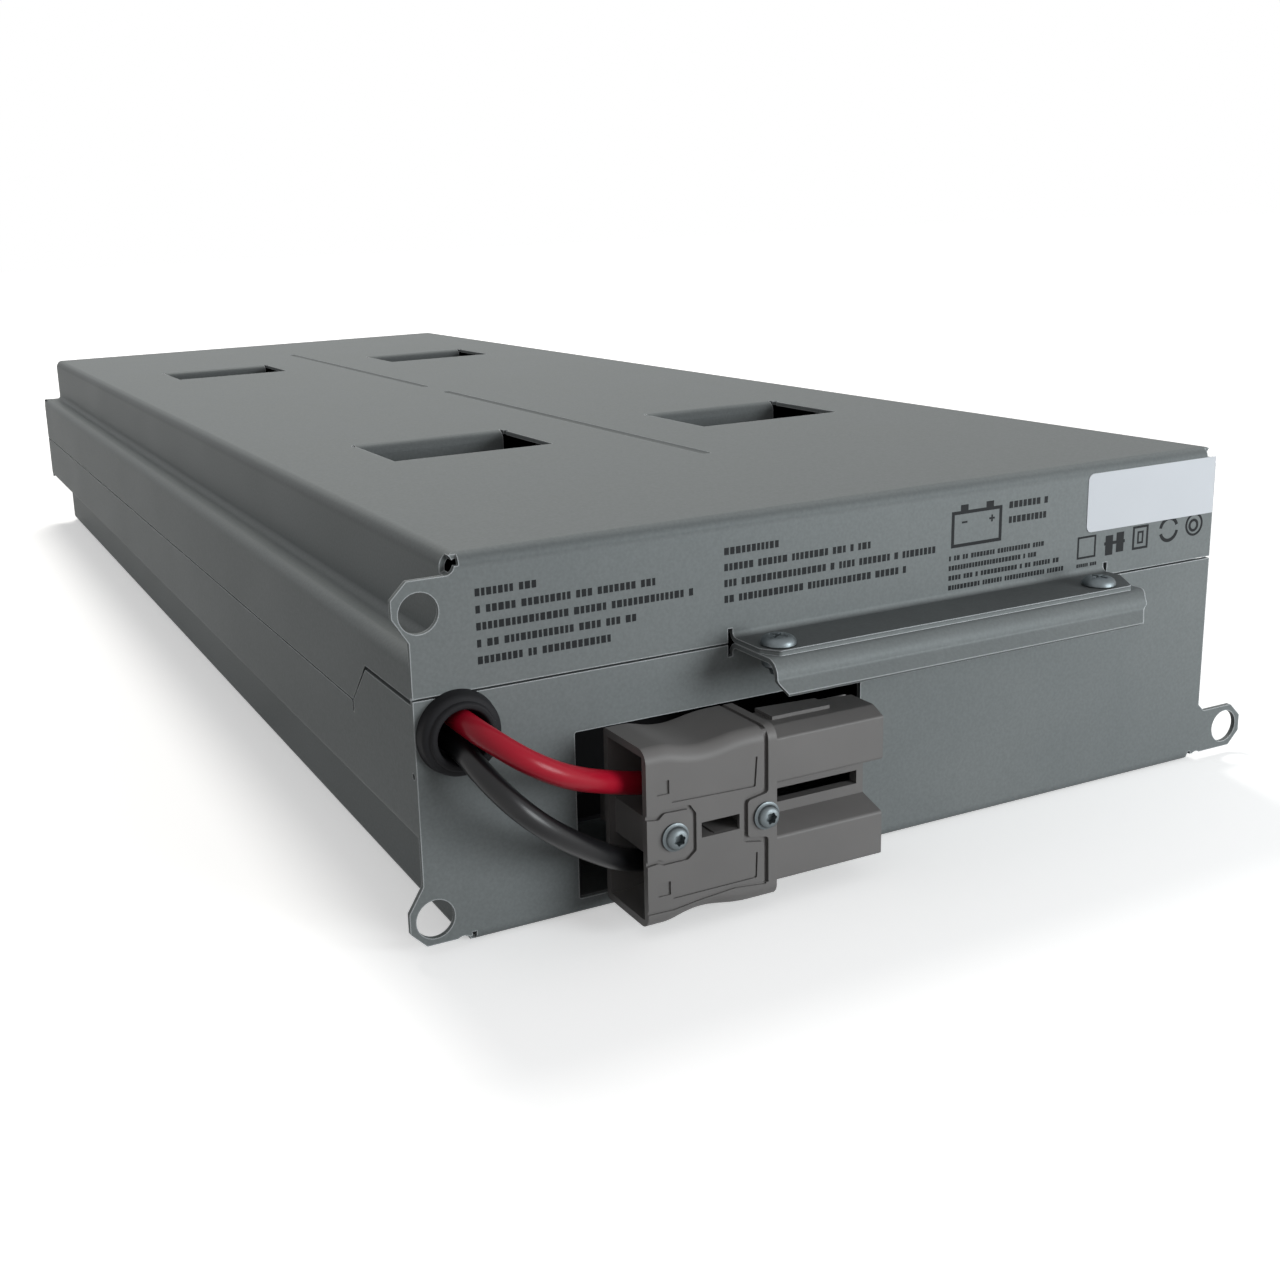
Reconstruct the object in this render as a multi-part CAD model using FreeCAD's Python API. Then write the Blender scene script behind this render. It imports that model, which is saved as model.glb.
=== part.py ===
import FreeCAD, Part
import math
import os

os.makedirs("parts", exist_ok=True)

# A battery cartridge for a rack UPS: a folded sheet-steel case of two halves, ten sealed lead-acid
# blocks inside, and a two-pole power connector on a short pigtail at the front.
# X runs along the front from left to right, Y from the front to the back, and Z up.
# The origin is the middle of the tray's underside.  All sizes are in millimetres.

V = FreeCAD.Vector

# ---------------------------------------------------------------- driving sizes
case_width = 211.4        # over the flat side walls
case_depth = 541.0
case_height = 84.0
sheet = 1.2               # galvanised steel sheet
bend = 1.3                # inside radius of the front and rear bends
side_bend = 1.8           # inside radius of the long bends

belly_out = 8.3           # how far the left wall is bellied out over the terminals
belly_low = 23.5
belly_high = 64.4
side_seam = 44.5          # lower edge of the cover along the sides and the rear
side_gap = 0.4
front_seam = 55.5         # lower edge of the cover's front flange
front_gap = 0.5

tab_length = 29.0         # raised front end of the tray's side walls
tab_slant = 10.0
tab_slot = 1.0
tab_relief = 2.6          # a slit in the tray at the foot of the tab's slanted end
corner_relief = 0.7
corner_relief_z = 38.6

relief_radius = 2.1       # round corner reliefs where three bends meet

ear_hole_radius = 4.3
ear_rim = 5.7             # from the hole's centre to the ear's outer edge
ear_chamfer = 3.5
ear_flare = 2.0           # the slanted step from an ear to the panel's side
ear_corner = 0.6
ear_left_x = -111.7
ear_right_x = 115.5
ear_low_z = 7.4
ear_high_z = 73.0

handle_left = -39.0
handle_right = 69.0
strip_reach = 14.2        # the cover's part of the handle
grip_reach = 17.0         # the tray's part, which curls down in front of it
grip_drop = 4.1
grip_bend = 2.4
lip_reach = 2.4
lip_drop = 2.6
handle_slot = 1.2         # relief slots at both ends of the handle
handle_slot_half = 3.2

screw_left_x = -33.7
screw_right_x = 57.7
screw_reach = 9.6
m4_radius = 2.0
m4_clearance = 0.25
m4_head_radius = 4.0
m4_head_height = 2.6
clinch_radius = 3.6
clinch_height = 2.4

window_width = 48.4
window_length = 36.5
window_pitch_x = 99.2
flap_bend = 1.8
flap_drop = 30.0
flap_relief = 1.1

bead_radius = 2.0
bead_depth = 0.8
bead_front = 73.4
bead_length = 183.6
bead_break = 23.1

cutout_left = -78.3
cutout_right = -4.4
cutout_low = 3.9
cutout_high = 42.0

lap_depth = 7.5           # how far the tray's lap strips reach up behind the cover
lap_inset_front = 52.0
lap_inset_rear = 24.0
rear_relief = 6.0

block_z = 70.0            # the blocks are laid on their sides, with their terminals to the left
row_gap = 0.4
rows = 5
columns = 2
wiring_room = 57.6        # from the case front to the first row
rear_room = 28.6          # from the last row to the case rear
floor_foam = 3.0
terminal_reach = 6.0
terminal_root = 2.0       # depth of the recess that a terminal stands in
terminal_width = 6.3
terminal_thickness = 0.8
terminal_inset = 9.5
terminal_height = 46.0
recess_half = 5.5
lid_depth = 9.0
block_clearance = 0.2
link_thickness = 0.6
link_clearance = 0.5
link_grip = 2.6
link_room = 16.0          # behind the last row, for the link between the columns
pack_lead_radius = 2.0
splice_radius = 2.9
splice_length = 16.0
pad_width = 44.0
pad_front = 20.0
pad_length = 32.0
spacer_height = 62.0
board = 1.0
board_clearance = 0.5
board_foot = 14.0

label_left = 62.8
label_low = 67.0
label_thickness = 0.15

# ---------------------------------------------------------------- worked out from them
left_x = -case_width / 2
right_x = case_width / 2
belly_x = left_x - belly_out
front_y = -case_depth / 2
rear_y = case_depth / 2
bend_out = bend + sheet
side_bend_out = side_bend + sheet
flat_left = left_x + side_bend_out
flat_right = right_x - side_bend_out
tray_edge = side_seam - side_gap
tray_front_top = front_seam - front_gap
tab_top = front_seam - tab_slot - front_gap
screw_y = front_y - screw_reach
inside_left = left_x + sheet
inside_right = right_x - 2 * sheet

# each 12 V 5 Ah block fills its share of the case, which comes to 101 by 90 by 70
# there is a row of flaps behind the first row of blocks, and another before the last row
side_room = block_clearance + board_clearance
flap_room = sheet + row_gap
terminal_room = terminal_reach - terminal_root + link_thickness + link_clearance
block_x = (inside_right - inside_left - side_room - (columns - 1) * terminal_room) / columns
block_y = (case_depth - wiring_room - rear_room - (rows - 1) * row_gap - 2 * flap_room) / rows
window_front = wiring_room + block_y + flap_room + flap_bend - window_length
window_pitch_y = flap_room + (rows - 2) * (block_y + row_gap)


# ---------------------------------------------------------------- profile helpers
def on_xz(y):
    """Places a flat (x, z) pair at depth y."""
    return lambda a, b: V(a, y, b)


def on_yz(x):
    """Places a flat (y, z) pair at x."""
    return lambda a, b: V(x, a, b)


def on_xy(z):
    """Places a flat (x, y) pair at height z."""
    return lambda a, b: V(a, b, z)


def unit(dx, dy):
    size = math.hypot(dx, dy)
    return dx / size, dy / size


def closed_wire(points, radii, place):
    """A closed wire through flat points, with each corner rounded by its radius."""
    count = len(points)
    corners = []
    for i in range(count):
        here = points[i]
        before = points[i - 1]
        after = points[(i + 1) % count]
        in_x, in_y = unit(here[0] - before[0], here[1] - before[1])
        out_x, out_y = unit(after[0] - here[0], after[1] - here[1])
        radius = radii[i]
        turn = math.atan2(in_x * out_y - in_y * out_x, in_x * out_x + in_y * out_y)
        reach = radius * abs(math.tan(turn / 2))
        if reach < 1e-6:
            corners.append((here, None, here))
            continue
        start = (here[0] - in_x * reach, here[1] - in_y * reach)
        end = (here[0] + out_x * reach, here[1] + out_y * reach)
        mid_x, mid_y = unit(out_x - in_x, out_y - in_y)
        away = radius / math.cos(turn / 2)
        middle = (here[0] + mid_x * (away - radius), here[1] + mid_y * (away - radius))
        corners.append((start, middle, end))
    edges = []
    for i in range(count):
        start, middle, end = corners[i]
        if middle:
            edges.append(Part.Arc(place(*start), place(*middle), place(*end)).toShape())
        following = corners[(i + 1) % count][0]
        if math.dist(end, following) > 1e-6:
            edges.append(Part.LineSegment(place(*end), place(*following)).toShape())
    return Part.Wire(edges)


def slab(points, radii, place, along):
    """A plate or bar: a flat outline pushed along a vector."""
    if not isinstance(radii, (list, tuple)):
        radii = [radii] * len(points)
    return Part.Face(closed_wire(points, radii, place)).extrude(along)


def shifted(points, distance):
    """An open run of flat points moved sideways to its left by a distance."""
    moved = []
    last = len(points) - 1
    for i, here in enumerate(points):
        first = points[max(i - 1, 0)]
        second = points[min(i + 1, last)]
        in_x, in_y = unit(*((here[0] - first[0], here[1] - first[1]) if i else
                            (second[0] - here[0], second[1] - here[1])))
        out_x, out_y = unit(*((second[0] - here[0], second[1] - here[1]) if i < last else
                              (here[0] - first[0], here[1] - first[1])))
        side_x, side_y = unit(-in_y - out_y, in_x + out_x)
        scale = distance / (side_x * -in_y + side_y * in_x)
        moved.append((here[0] + side_x * scale, here[1] + side_y * scale))
    return moved


def folded(points, bends, side, place, along):
    """A folded sheet: the run of its outer face, its inside bend radii, and the side its metal is on."""
    inner = shifted(points, side * sheet)
    outer_radii = [0.0]
    inner_radii = [0.0]
    for i in range(1, len(points) - 1):
        in_x, in_y = unit(points[i][0] - points[i - 1][0], points[i][1] - points[i - 1][1])
        out_x, out_y = unit(points[i + 1][0] - points[i][0], points[i + 1][1] - points[i][1])
        inside = (in_x * out_y - in_y * out_x) * side > 0
        outer_radii.append(bends[i - 1] + (sheet if inside else 0.0))
        inner_radii.append(bends[i - 1] + (0.0 if inside else sheet))
    outer_radii.append(0.0)
    inner_radii.append(0.0)
    outline = points + inner[::-1]
    return slab(outline, outer_radii + inner_radii[::-1], place, along)


def block(low, high):
    """A plain box between two corners."""
    return Part.makeBox(high[0] - low[0], high[1] - low[1], high[2] - low[2], V(*low))


def rod(radius, start, along):
    """A round bar from a point, along a vector."""
    return Part.makeCylinder(radius, along.Length, start, along)


def edges_along(shape, direction, test):
    """The straight edges of a shape that run one way and pass a test on their middle."""
    found = []
    for edge in shape.Edges:
        if edge.Curve.TypeId != "Part::GeomLine":
            continue
        if abs(edge.tangentAt(edge.FirstParameter).dot(direction)) < 0.999:
            continue
        if test(edge.CenterOfMass):
            found.append(edge)
    return found


def save(shape, node):
    if isinstance(shape, Part.Compound) or len(shape.Solids) > 1:
        shape = Part.makeCompound(shape.Solids)
    elif len(shape.Solids) == 1:
        shape = shape.Solids[0]
    shape.exportStep("parts/" + node + ".step")
    facts = (node, len(shape.Solids), shape.Volume, shape.isValid())
    print("%-24s solids %2d  volume %10.1f  valid %s" % facts)
    return shape


# ---------------------------------------------------------------- sheet-steel case
def ear(hole_x, plain_z, open_z, edge_x, root_x, root_z):
    """An ear round its hole: chamfered corners, one plain end, and one that runs into the panel's side."""
    outward = 1 if hole_x > 0 else -1
    step = 1 if open_z > plain_z else -1
    outer = hole_x + outward * ear_rim
    inner = outer - outward * ear_chamfer
    points = [(root_x, plain_z), (inner, plain_z), (outer, plain_z + step * ear_chamfer),
              (outer, open_z - step * ear_chamfer)]
    if abs(outer - edge_x) > 2 * ear_chamfer:
        points += [(inner, open_z), (edge_x + outward * ear_flare, open_z)]
    points += [(edge_x, open_z + step * ear_flare), (edge_x, root_z), (root_x, root_z)]
    rounding = [0] + [ear_corner] * (len(points) - 3) + [0, 0]
    return slab(points, rounding, on_xz(front_y), V(0, sheet, 0))


def ear_holes(places):
    """Drills for the ears, each right through a panel."""
    return [rod(ear_hole_radius, V(x, front_y - sheet, z), V(0, 3 * sheet, 0)) for x, z in places]


def window_places():
    """The four windows: the middle in x and the front edge in y."""
    for row in range(2):
        for column in (-0.5, 0.5):
            yield column * window_pitch_x, front_y + window_front + row * window_pitch_y


def handle_slots():
    """Relief slots through both panels at the ends of the handle."""
    for x in (handle_left - handle_slot, handle_right):
        yield block((x, front_y - sheet, front_seam - handle_slot_half),
                    (x + handle_slot, front_y + 2 * sheet, front_seam + handle_slot_half))


def screw_holes():
    for x in (screw_left_x, screw_right_x):
        yield rod(m4_radius + m4_clearance, V(x, screw_y, front_seam - 20), V(0, 0, 40))


def make_top_cover():
    length = case_depth - 2 * sheet
    walls = folded([(belly_x, side_seam), (belly_x, belly_high), (left_x, belly_high),
                    (left_x, case_height), (right_x, case_height), (right_x, side_seam)],
                   [side_bend] * 4, -1, on_xz(front_y + sheet), V(0, length, 0))
    envelope = slab([(front_y, 0), (rear_y, 0), (rear_y, case_height), (front_y, case_height)],
                    [0, 0, bend_out, bend_out], on_yz(belly_x - 1), V(case_width + belly_out + 2, 0, 0))
    hood = folded([(front_y, front_seam), (front_y, case_height), (rear_y, case_height),
                   (rear_y, side_seam)], [bend, bend], -1,
                  on_yz(flat_left), V(flat_right - flat_left, 0, 0))
    flange_top = case_height - bend_out
    flange = slab([(belly_x, front_seam), (right_x, front_seam), (right_x, flange_top),
                   (left_x, flange_top), (left_x, belly_high), (belly_x, belly_high)], 0,
                  on_xz(front_y), V(0, sheet, 0))
    high_ear = ear(ear_left_x, case_height - 2 * relief_radius, ear_high_z - ear_rim + 1.8, belly_x,
                   left_x + 1, belly_high - 1)
    rear = slab([(belly_x + 0.3, side_seam), (right_x, side_seam), (right_x, flange_top),
                 (left_x, flange_top), (left_x, belly_high), (belly_x + 0.3, belly_high)], 0,
                on_xz(rear_y - sheet), V(0, sheet, 0))
    cover = walls.common(envelope).fuse([hood, flange, high_ear, rear])

    cuts = []
    for x in (left_x, right_x):
        corner = V(x, front_y - 1, case_height - relief_radius)
        cuts.append(rod(relief_radius, corner, V(0, bend_out + 1.5, 0)))
    tab_rear = front_y + tab_length
    slot_top = tab_top + tab_slot
    cuts.append(slab([(front_y + sheet, side_seam - 5), (tab_rear + tab_slant, side_seam - 5),
                      (tab_rear + tab_slant, side_seam), (tab_rear, slot_top),
                      (front_y + sheet, slot_top)], 0,
                     on_yz(belly_x - 1), V(case_width + belly_out + 2, 0, 0)))
    cuts += ear_holes([(ear_left_x, ear_high_z)])
    for middle, edge in window_places():
        half = window_width / 2
        cuts.append(block((middle - half, edge, case_height - 2 * sheet),
                          (middle + half, edge + window_length, case_height + 1)))
        for x in (middle - half, middle + half):
            place = V(x, edge + window_length - flap_bend - sheet, case_height - 2 * sheet)
            cuts.append(rod(flap_relief, place, V(0, 0, 4 * sheet)))
    cover = cover.cut(cuts)

    # each window's metal is a flap, folded down from its rear edge between two rows of blocks
    flaps = []
    for middle, edge in window_places():
        bend_y = edge + window_length
        flap_face = bend_y - flap_bend - sheet
        half = window_width / 2 - flap_relief / 2
        flaps.append(folded([(bend_y + 0.5, case_height), (flap_face, case_height),
                             (flap_face, case_height - flap_drop)], [flap_bend], 1,
                            on_yz(middle - half), V(2 * half, 0, 0)))

    # two pressed beads stiffen the top along its middle
    beads = []
    grooves = []
    bead_z = case_height + bead_radius - bead_depth
    for i in range(2):
        start_y = front_y + bead_front + i * (bead_length + bead_break)
        for radius, pieces in ((bead_radius + sheet, beads), (bead_radius, grooves)):
            start = V(0, start_y, bead_z)
            end = V(0, start_y + bead_length, bead_z)
            bar = rod(radius, start, end - start)
            pieces.append(bar.fuse([Part.makeSphere(radius, start), Part.makeSphere(radius, end)]))
    under_top = block((-10, front_y + 20, case_height - 5), (10, rear_y - 20, case_height - sheet / 2))
    beads = [bead.common(under_top) for bead in beads]

    # the cover's half of the handle is folded out from the flange's lower edge
    strip = folded([(front_y + sheet, front_seam + 6), (front_y + sheet, front_seam),
                    (front_y - strip_reach, front_seam)], [bend], -1,
                   on_yz(handle_left), V(handle_right - handle_left, 0, 0))
    plan = slab([(handle_left, front_y + 5), (handle_left, front_y - strip_reach + 4.0),
                 (handle_left + 2.8, front_y - strip_reach), (handle_right - 5.5, front_y - strip_reach),
                 (handle_right, front_y - strip_reach + 8.5), (handle_right, front_y + 5)],
                [0, 1, 1, 1.5, 1.5, 0], on_xy(front_seam - 1), V(0, 0, 20))
    strip_hollow = block((handle_left, front_y - sheet, front_seam - 1),
                         (handle_right, front_y + 2 * sheet, front_seam + bend_out))
    cover = cover.cut(grooves).fuse(beads + flaps)
    cover = cover.cut(grooves).cut(strip_hollow).fuse(strip.common(plan))
    return cover.cut(list(handle_slots()) + list(screw_holes())).removeSplitter()


def make_base_tray():
    length = case_depth - 2 * sheet
    width = case_width + belly_out + 2
    walls = folded([(belly_x, tray_edge), (belly_x, belly_low), (left_x, belly_low),
                    (left_x, 0), (right_x, 0), (right_x, tray_edge)],
                   [side_bend] * 4, 1, on_xz(front_y + sheet), V(0, length, 0))
    envelope = slab([(front_y, 0), (rear_y, 0), (rear_y, case_height), (front_y, case_height)],
                    [bend_out, bend_out, 0, 0], on_yz(belly_x - 1), V(width, 0, 0))
    pan = folded([(rear_y, tray_edge), (rear_y, 0), (front_y, 0), (front_y, tray_front_top)],
                 [bend, bend], -1, on_yz(flat_left), V(flat_right - flat_left, 0, 0))
    panel_low = bend_out
    panel = slab([(left_x, panel_low), (right_x, panel_low), (right_x, tray_front_top),
                  (belly_x, tray_front_top), (belly_x, belly_low), (left_x, belly_low)], 0,
                 on_xz(front_y), V(0, sheet, 0))
    ear_low_end = ear_low_z - ear_rim
    ear_high_end = ear_low_z + ear_rim
    ears = [
        ear(ear_left_x, ear_low_end, ear_high_end, belly_x, left_x + 2, belly_low + 1),
        ear(ear_right_x, ear_low_end, ear_high_end, right_x, right_x - 2, ear_high_end + 2 * ear_flare),
    ]
    rear = slab([(left_x + 3, panel_low), (right_x, panel_low), (right_x, tray_edge),
                 (belly_x + 0.3, tray_edge), (belly_x + 0.3, belly_low + 0.3), (left_x + 3, belly_low + 0.3)],
                0, on_xz(rear_y - sheet), V(0, sheet, 0))
    tabs = []
    for x in (belly_x, right_x - sheet):
        tabs.append(slab([(front_y + sheet, tray_edge - 5), (front_y + tab_length + tab_slant, tray_edge - 5),
                          (front_y + tab_length + tab_slant, tray_edge), (front_y + tab_length, tab_top),
                          (front_y + sheet, tab_top)], 0, on_yz(x), V(sheet, 0, 0)))

    # lap strips, spot-welded inside the walls, locate the cover
    laps = []
    lap_low = tray_edge - lap_depth
    lap_high = side_seam + lap_depth
    for x in (belly_x + sheet, right_x - 2 * sheet):
        laps.append(block((x, front_y + lap_inset_front, lap_low),
                          (x + sheet, rear_y - lap_inset_rear, lap_high)))
    laps.append(block((left_x + lap_inset_rear, rear_y - 2 * sheet, lap_low),
                      (right_x - lap_inset_rear, rear_y - sheet, lap_high)))

    # the grip: a flange folded forward under the cover's strip, curled down and flared to a lip
    grip = folded([(front_y + sheet, front_seam - 8), (front_y + sheet, front_seam),
                   (front_y - grip_reach, front_seam), (front_y - grip_reach, front_seam - grip_drop),
                   (front_y - grip_reach - lip_reach, front_seam - grip_drop - lip_drop)],
                  [bend, grip_bend, 1.0], 1, on_yz(handle_left), V(handle_right - handle_left, 0, 0))
    grip_low = front_seam - grip_drop - lip_drop - 2
    grip_right = handle_right - 3.3
    face = slab([(handle_left, front_seam + 2), (handle_left, grip_low + 4), (handle_left + 2.5, grip_low),
                 (grip_right - 5.2, grip_low), (grip_right, front_seam - 3.2), (grip_right, front_seam - 1.5),
                 (handle_right, front_seam + 2)],
                [0, 1.5, 0, 3.0, 1.2, 1.0, 0], on_xz(front_y - 30), V(0, 30 - 1.0, 0))
    root = block((handle_left, front_y - 1.0, front_seam - 8), (handle_right, front_y + 5, front_seam + 2))
    grip_gap = block((handle_left, front_y - sheet, tray_front_top - bend_out - 1),
                     (handle_right, front_y + 2 * sheet, front_seam + 2))

    tray = walls.common(envelope).fuse([pan, panel, rear] + ears + tabs + laps)
    tray = tray.cut(grip_gap).fuse([grip.common(face), grip.common(root)])
    cuts = ear_holes([(ear_left_x, ear_low_z), (ear_right_x, ear_low_z)])
    cuts.append(slab([(cutout_left, cutout_low), (cutout_right, cutout_low),
                      (cutout_right, cutout_high), (cutout_left, cutout_high)], 0.5,
                     on_xz(front_y - sheet), V(0, 3 * sheet, 0)))
    cuts.append(rod(grommet_hole_radius, V(grommet_x, front_y - 1, grommet_z), V(0, sheet + 2, 0)))
    for x in (left_x, right_x):
        cuts.append(rod(relief_radius, V(x, front_y - 1, 0), V(0, bend_out + 1.5, 0)))
    cuts.append(block((left_x - 1, rear_y - rear_relief, -1), (left_x + 3, rear_y + 1, belly_low - sheet)))
    tab_foot = front_y + tab_length + tab_slant
    cuts.append(block((belly_x - 1, tab_foot - 0.2, tray_edge - tab_relief),
                      (belly_x + sheet, tab_foot + 0.6, tray_edge + 1)))
    relief_y = front_y + sheet + corner_relief
    cuts.append(rod(corner_relief, V(belly_x - 1, relief_y, corner_relief_z), V(1 + sheet, 0, 0)))
    cuts += list(handle_slots()) + list(screw_holes())
    return tray.cut(cuts).removeSplitter()


# ---------------------------------------------------------------- grommet
grommet_x = -104.7
grommet_z = 47.1
grommet_hole_radius = 6.9
grommet_bore_radius = 5.8
grommet_face_radius = 9.1
grommet_back_radius = 7.9
grommet_face = 3.2
grommet_back = 2.6


def make_grommet():
    """A turned section: face ring with a raised bore, a neck in the panel's hole, and a back ring."""
    neck = grommet_hole_radius - 0.05
    section = [(grommet_bore_radius, -grommet_face - 0.8), (grommet_bore_radius + 1.3, -grommet_face - 0.8),
               (grommet_bore_radius + 1.6, -grommet_face), (grommet_face_radius - 0.5, -grommet_face + 0.4),
               (grommet_face_radius, 0), (neck, 0), (neck, sheet), (grommet_back_radius, sheet),
               (grommet_back_radius - 0.6, sheet + grommet_back), (grommet_bore_radius, sheet + grommet_back)]
    radii = [0.5, 0.6, 0, 1.2, 0, 0, 0, 0, 0.6, 0]
    wire = closed_wire(section, radii, lambda a, b: V(grommet_x + a, front_y + b, grommet_z))
    return Part.Face(wire).revolve(V(grommet_x, front_y, grommet_z), V(0, 1, 0), 360)


# ---------------------------------------------------------------- connector and its boot
boot_left = -71.5
boot_length = 31.7
boot_thickness = 18.0
boot_half_height = 19.7
boot_wall = 1.7
boot_waist = 1.5
boot_rounding = 3.0
boot_rear_rounding = 1.0
boot_middle_z = 22.4
pole_pitch = 17.4
lead_radius = 2.5
lead_hole_radius = 4.2

housing_length = 43.5
housing_thickness = 16.0
housing_half_height = 17.8
housing_end = -11.3
column_inner = 6.2        # from the middle to a pole column's inner edge
column_outer = 16.1
web_thickness = 2.4
hood_bevel = 1.6
slot_half = 1.6
slot_stop = 1.8           # from the web slot's end to the housing's mating end
cavity_depth = 24.0
cavity_half = 3.7
blade_middle = 11.2       # from the housing's middle to the middle of each blade
contact_slip = 0.15
crimp_radius = 3.9
crimp_length = 12.0
blade_width = 6.6
blade_back = 1.2          # the blade's back, which rests on the housing
blade_length = 26.0
tongue_start = -36.0
tongue_proud = 0.8
boot_slip = 0.15

pilot_left_x = -65.0
pilot_right_x = -42.6
m3_radius = 1.5
m3_clearance = 0.2
m3_head_radius = 3.1
m3_head_height = 2.2
boss_half = 4.6
boss_reach = 6.0
groove_width = 1.1
groove_depth = 0.8
line_width = 0.45
line_depth = 0.4
pad_half = 4.8            # half the height of the pads round the screws
mark_offset = 11.2
mark_half = 1.5
vent_half = 1.7

boot_right = boot_left + boot_length
rim_x = boot_right - 2.7
boot_middle_y = front_y - boot_thickness / 2
boot_front_y = front_y - boot_thickness
housing_start = housing_end - housing_length
housing_front_y = boot_middle_y - housing_thickness / 2


def boot_outline(inset):
    """The boot's side view: straight ends and a shallow waist above and below, inset by a wall."""
    left = boot_left + (0 if inset == 0 else -1)
    right = boot_right + (0 if inset == 0 else 1)
    half = boot_half_height - inset
    waist = half - boot_waist
    edges = []
    top = [V(left, 0, half), V(boot_left + 4, 0, half)]
    dip = [V(boot_left + 14, 0, waist), V(boot_left + 25.5, 0, half - 0.2)]
    for sign in (1, -1):
        low = [V(p.x, 0, sign * p.z) for p in top + dip]
        curve = Part.BSplineCurve()
        curve.interpolate([low[1], V(boot_left + 8.5, 0, sign * (half - boot_waist * 0.55)), low[2],
                           V(boot_left + 20, 0, sign * (half - boot_waist * 0.45)), low[3]],
                          InitialTangent=V(1, 0, 0), FinalTangent=V(1, 0, 0))
        edges.append(Part.LineSegment(low[0], low[1]).toShape())
        edges.append(curve.toShape())
        edges.append(Part.LineSegment(low[3], V(right, 0, sign * (half - 0.2))).toShape())
    edges.append(Part.LineSegment(V(left, 0, half), V(left, 0, -half)).toShape())
    edges.append(Part.LineSegment(V(right, 0, half - 0.2), V(right, 0, -half + 0.2)).toShape())
    return Part.Wire(Part.__sortEdges__(edges))


def groove(points, width, depth):
    """A groove along a run of points on the boot's front face; heights count from the boot's middle."""
    run = [(x, boot_middle_z + z) for x, z in points]
    sides = shifted(run, width / 2) + shifted(run, -width / 2)[::-1]
    ends = (0, len(points) - 1, len(points), 2 * len(points) - 1)
    radii = [0 if i in ends else width * 0.8 for i in range(len(sides))]
    return slab(sides, radii, on_xz(boot_front_y - 1), V(0, 1 + depth, 0))


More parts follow.
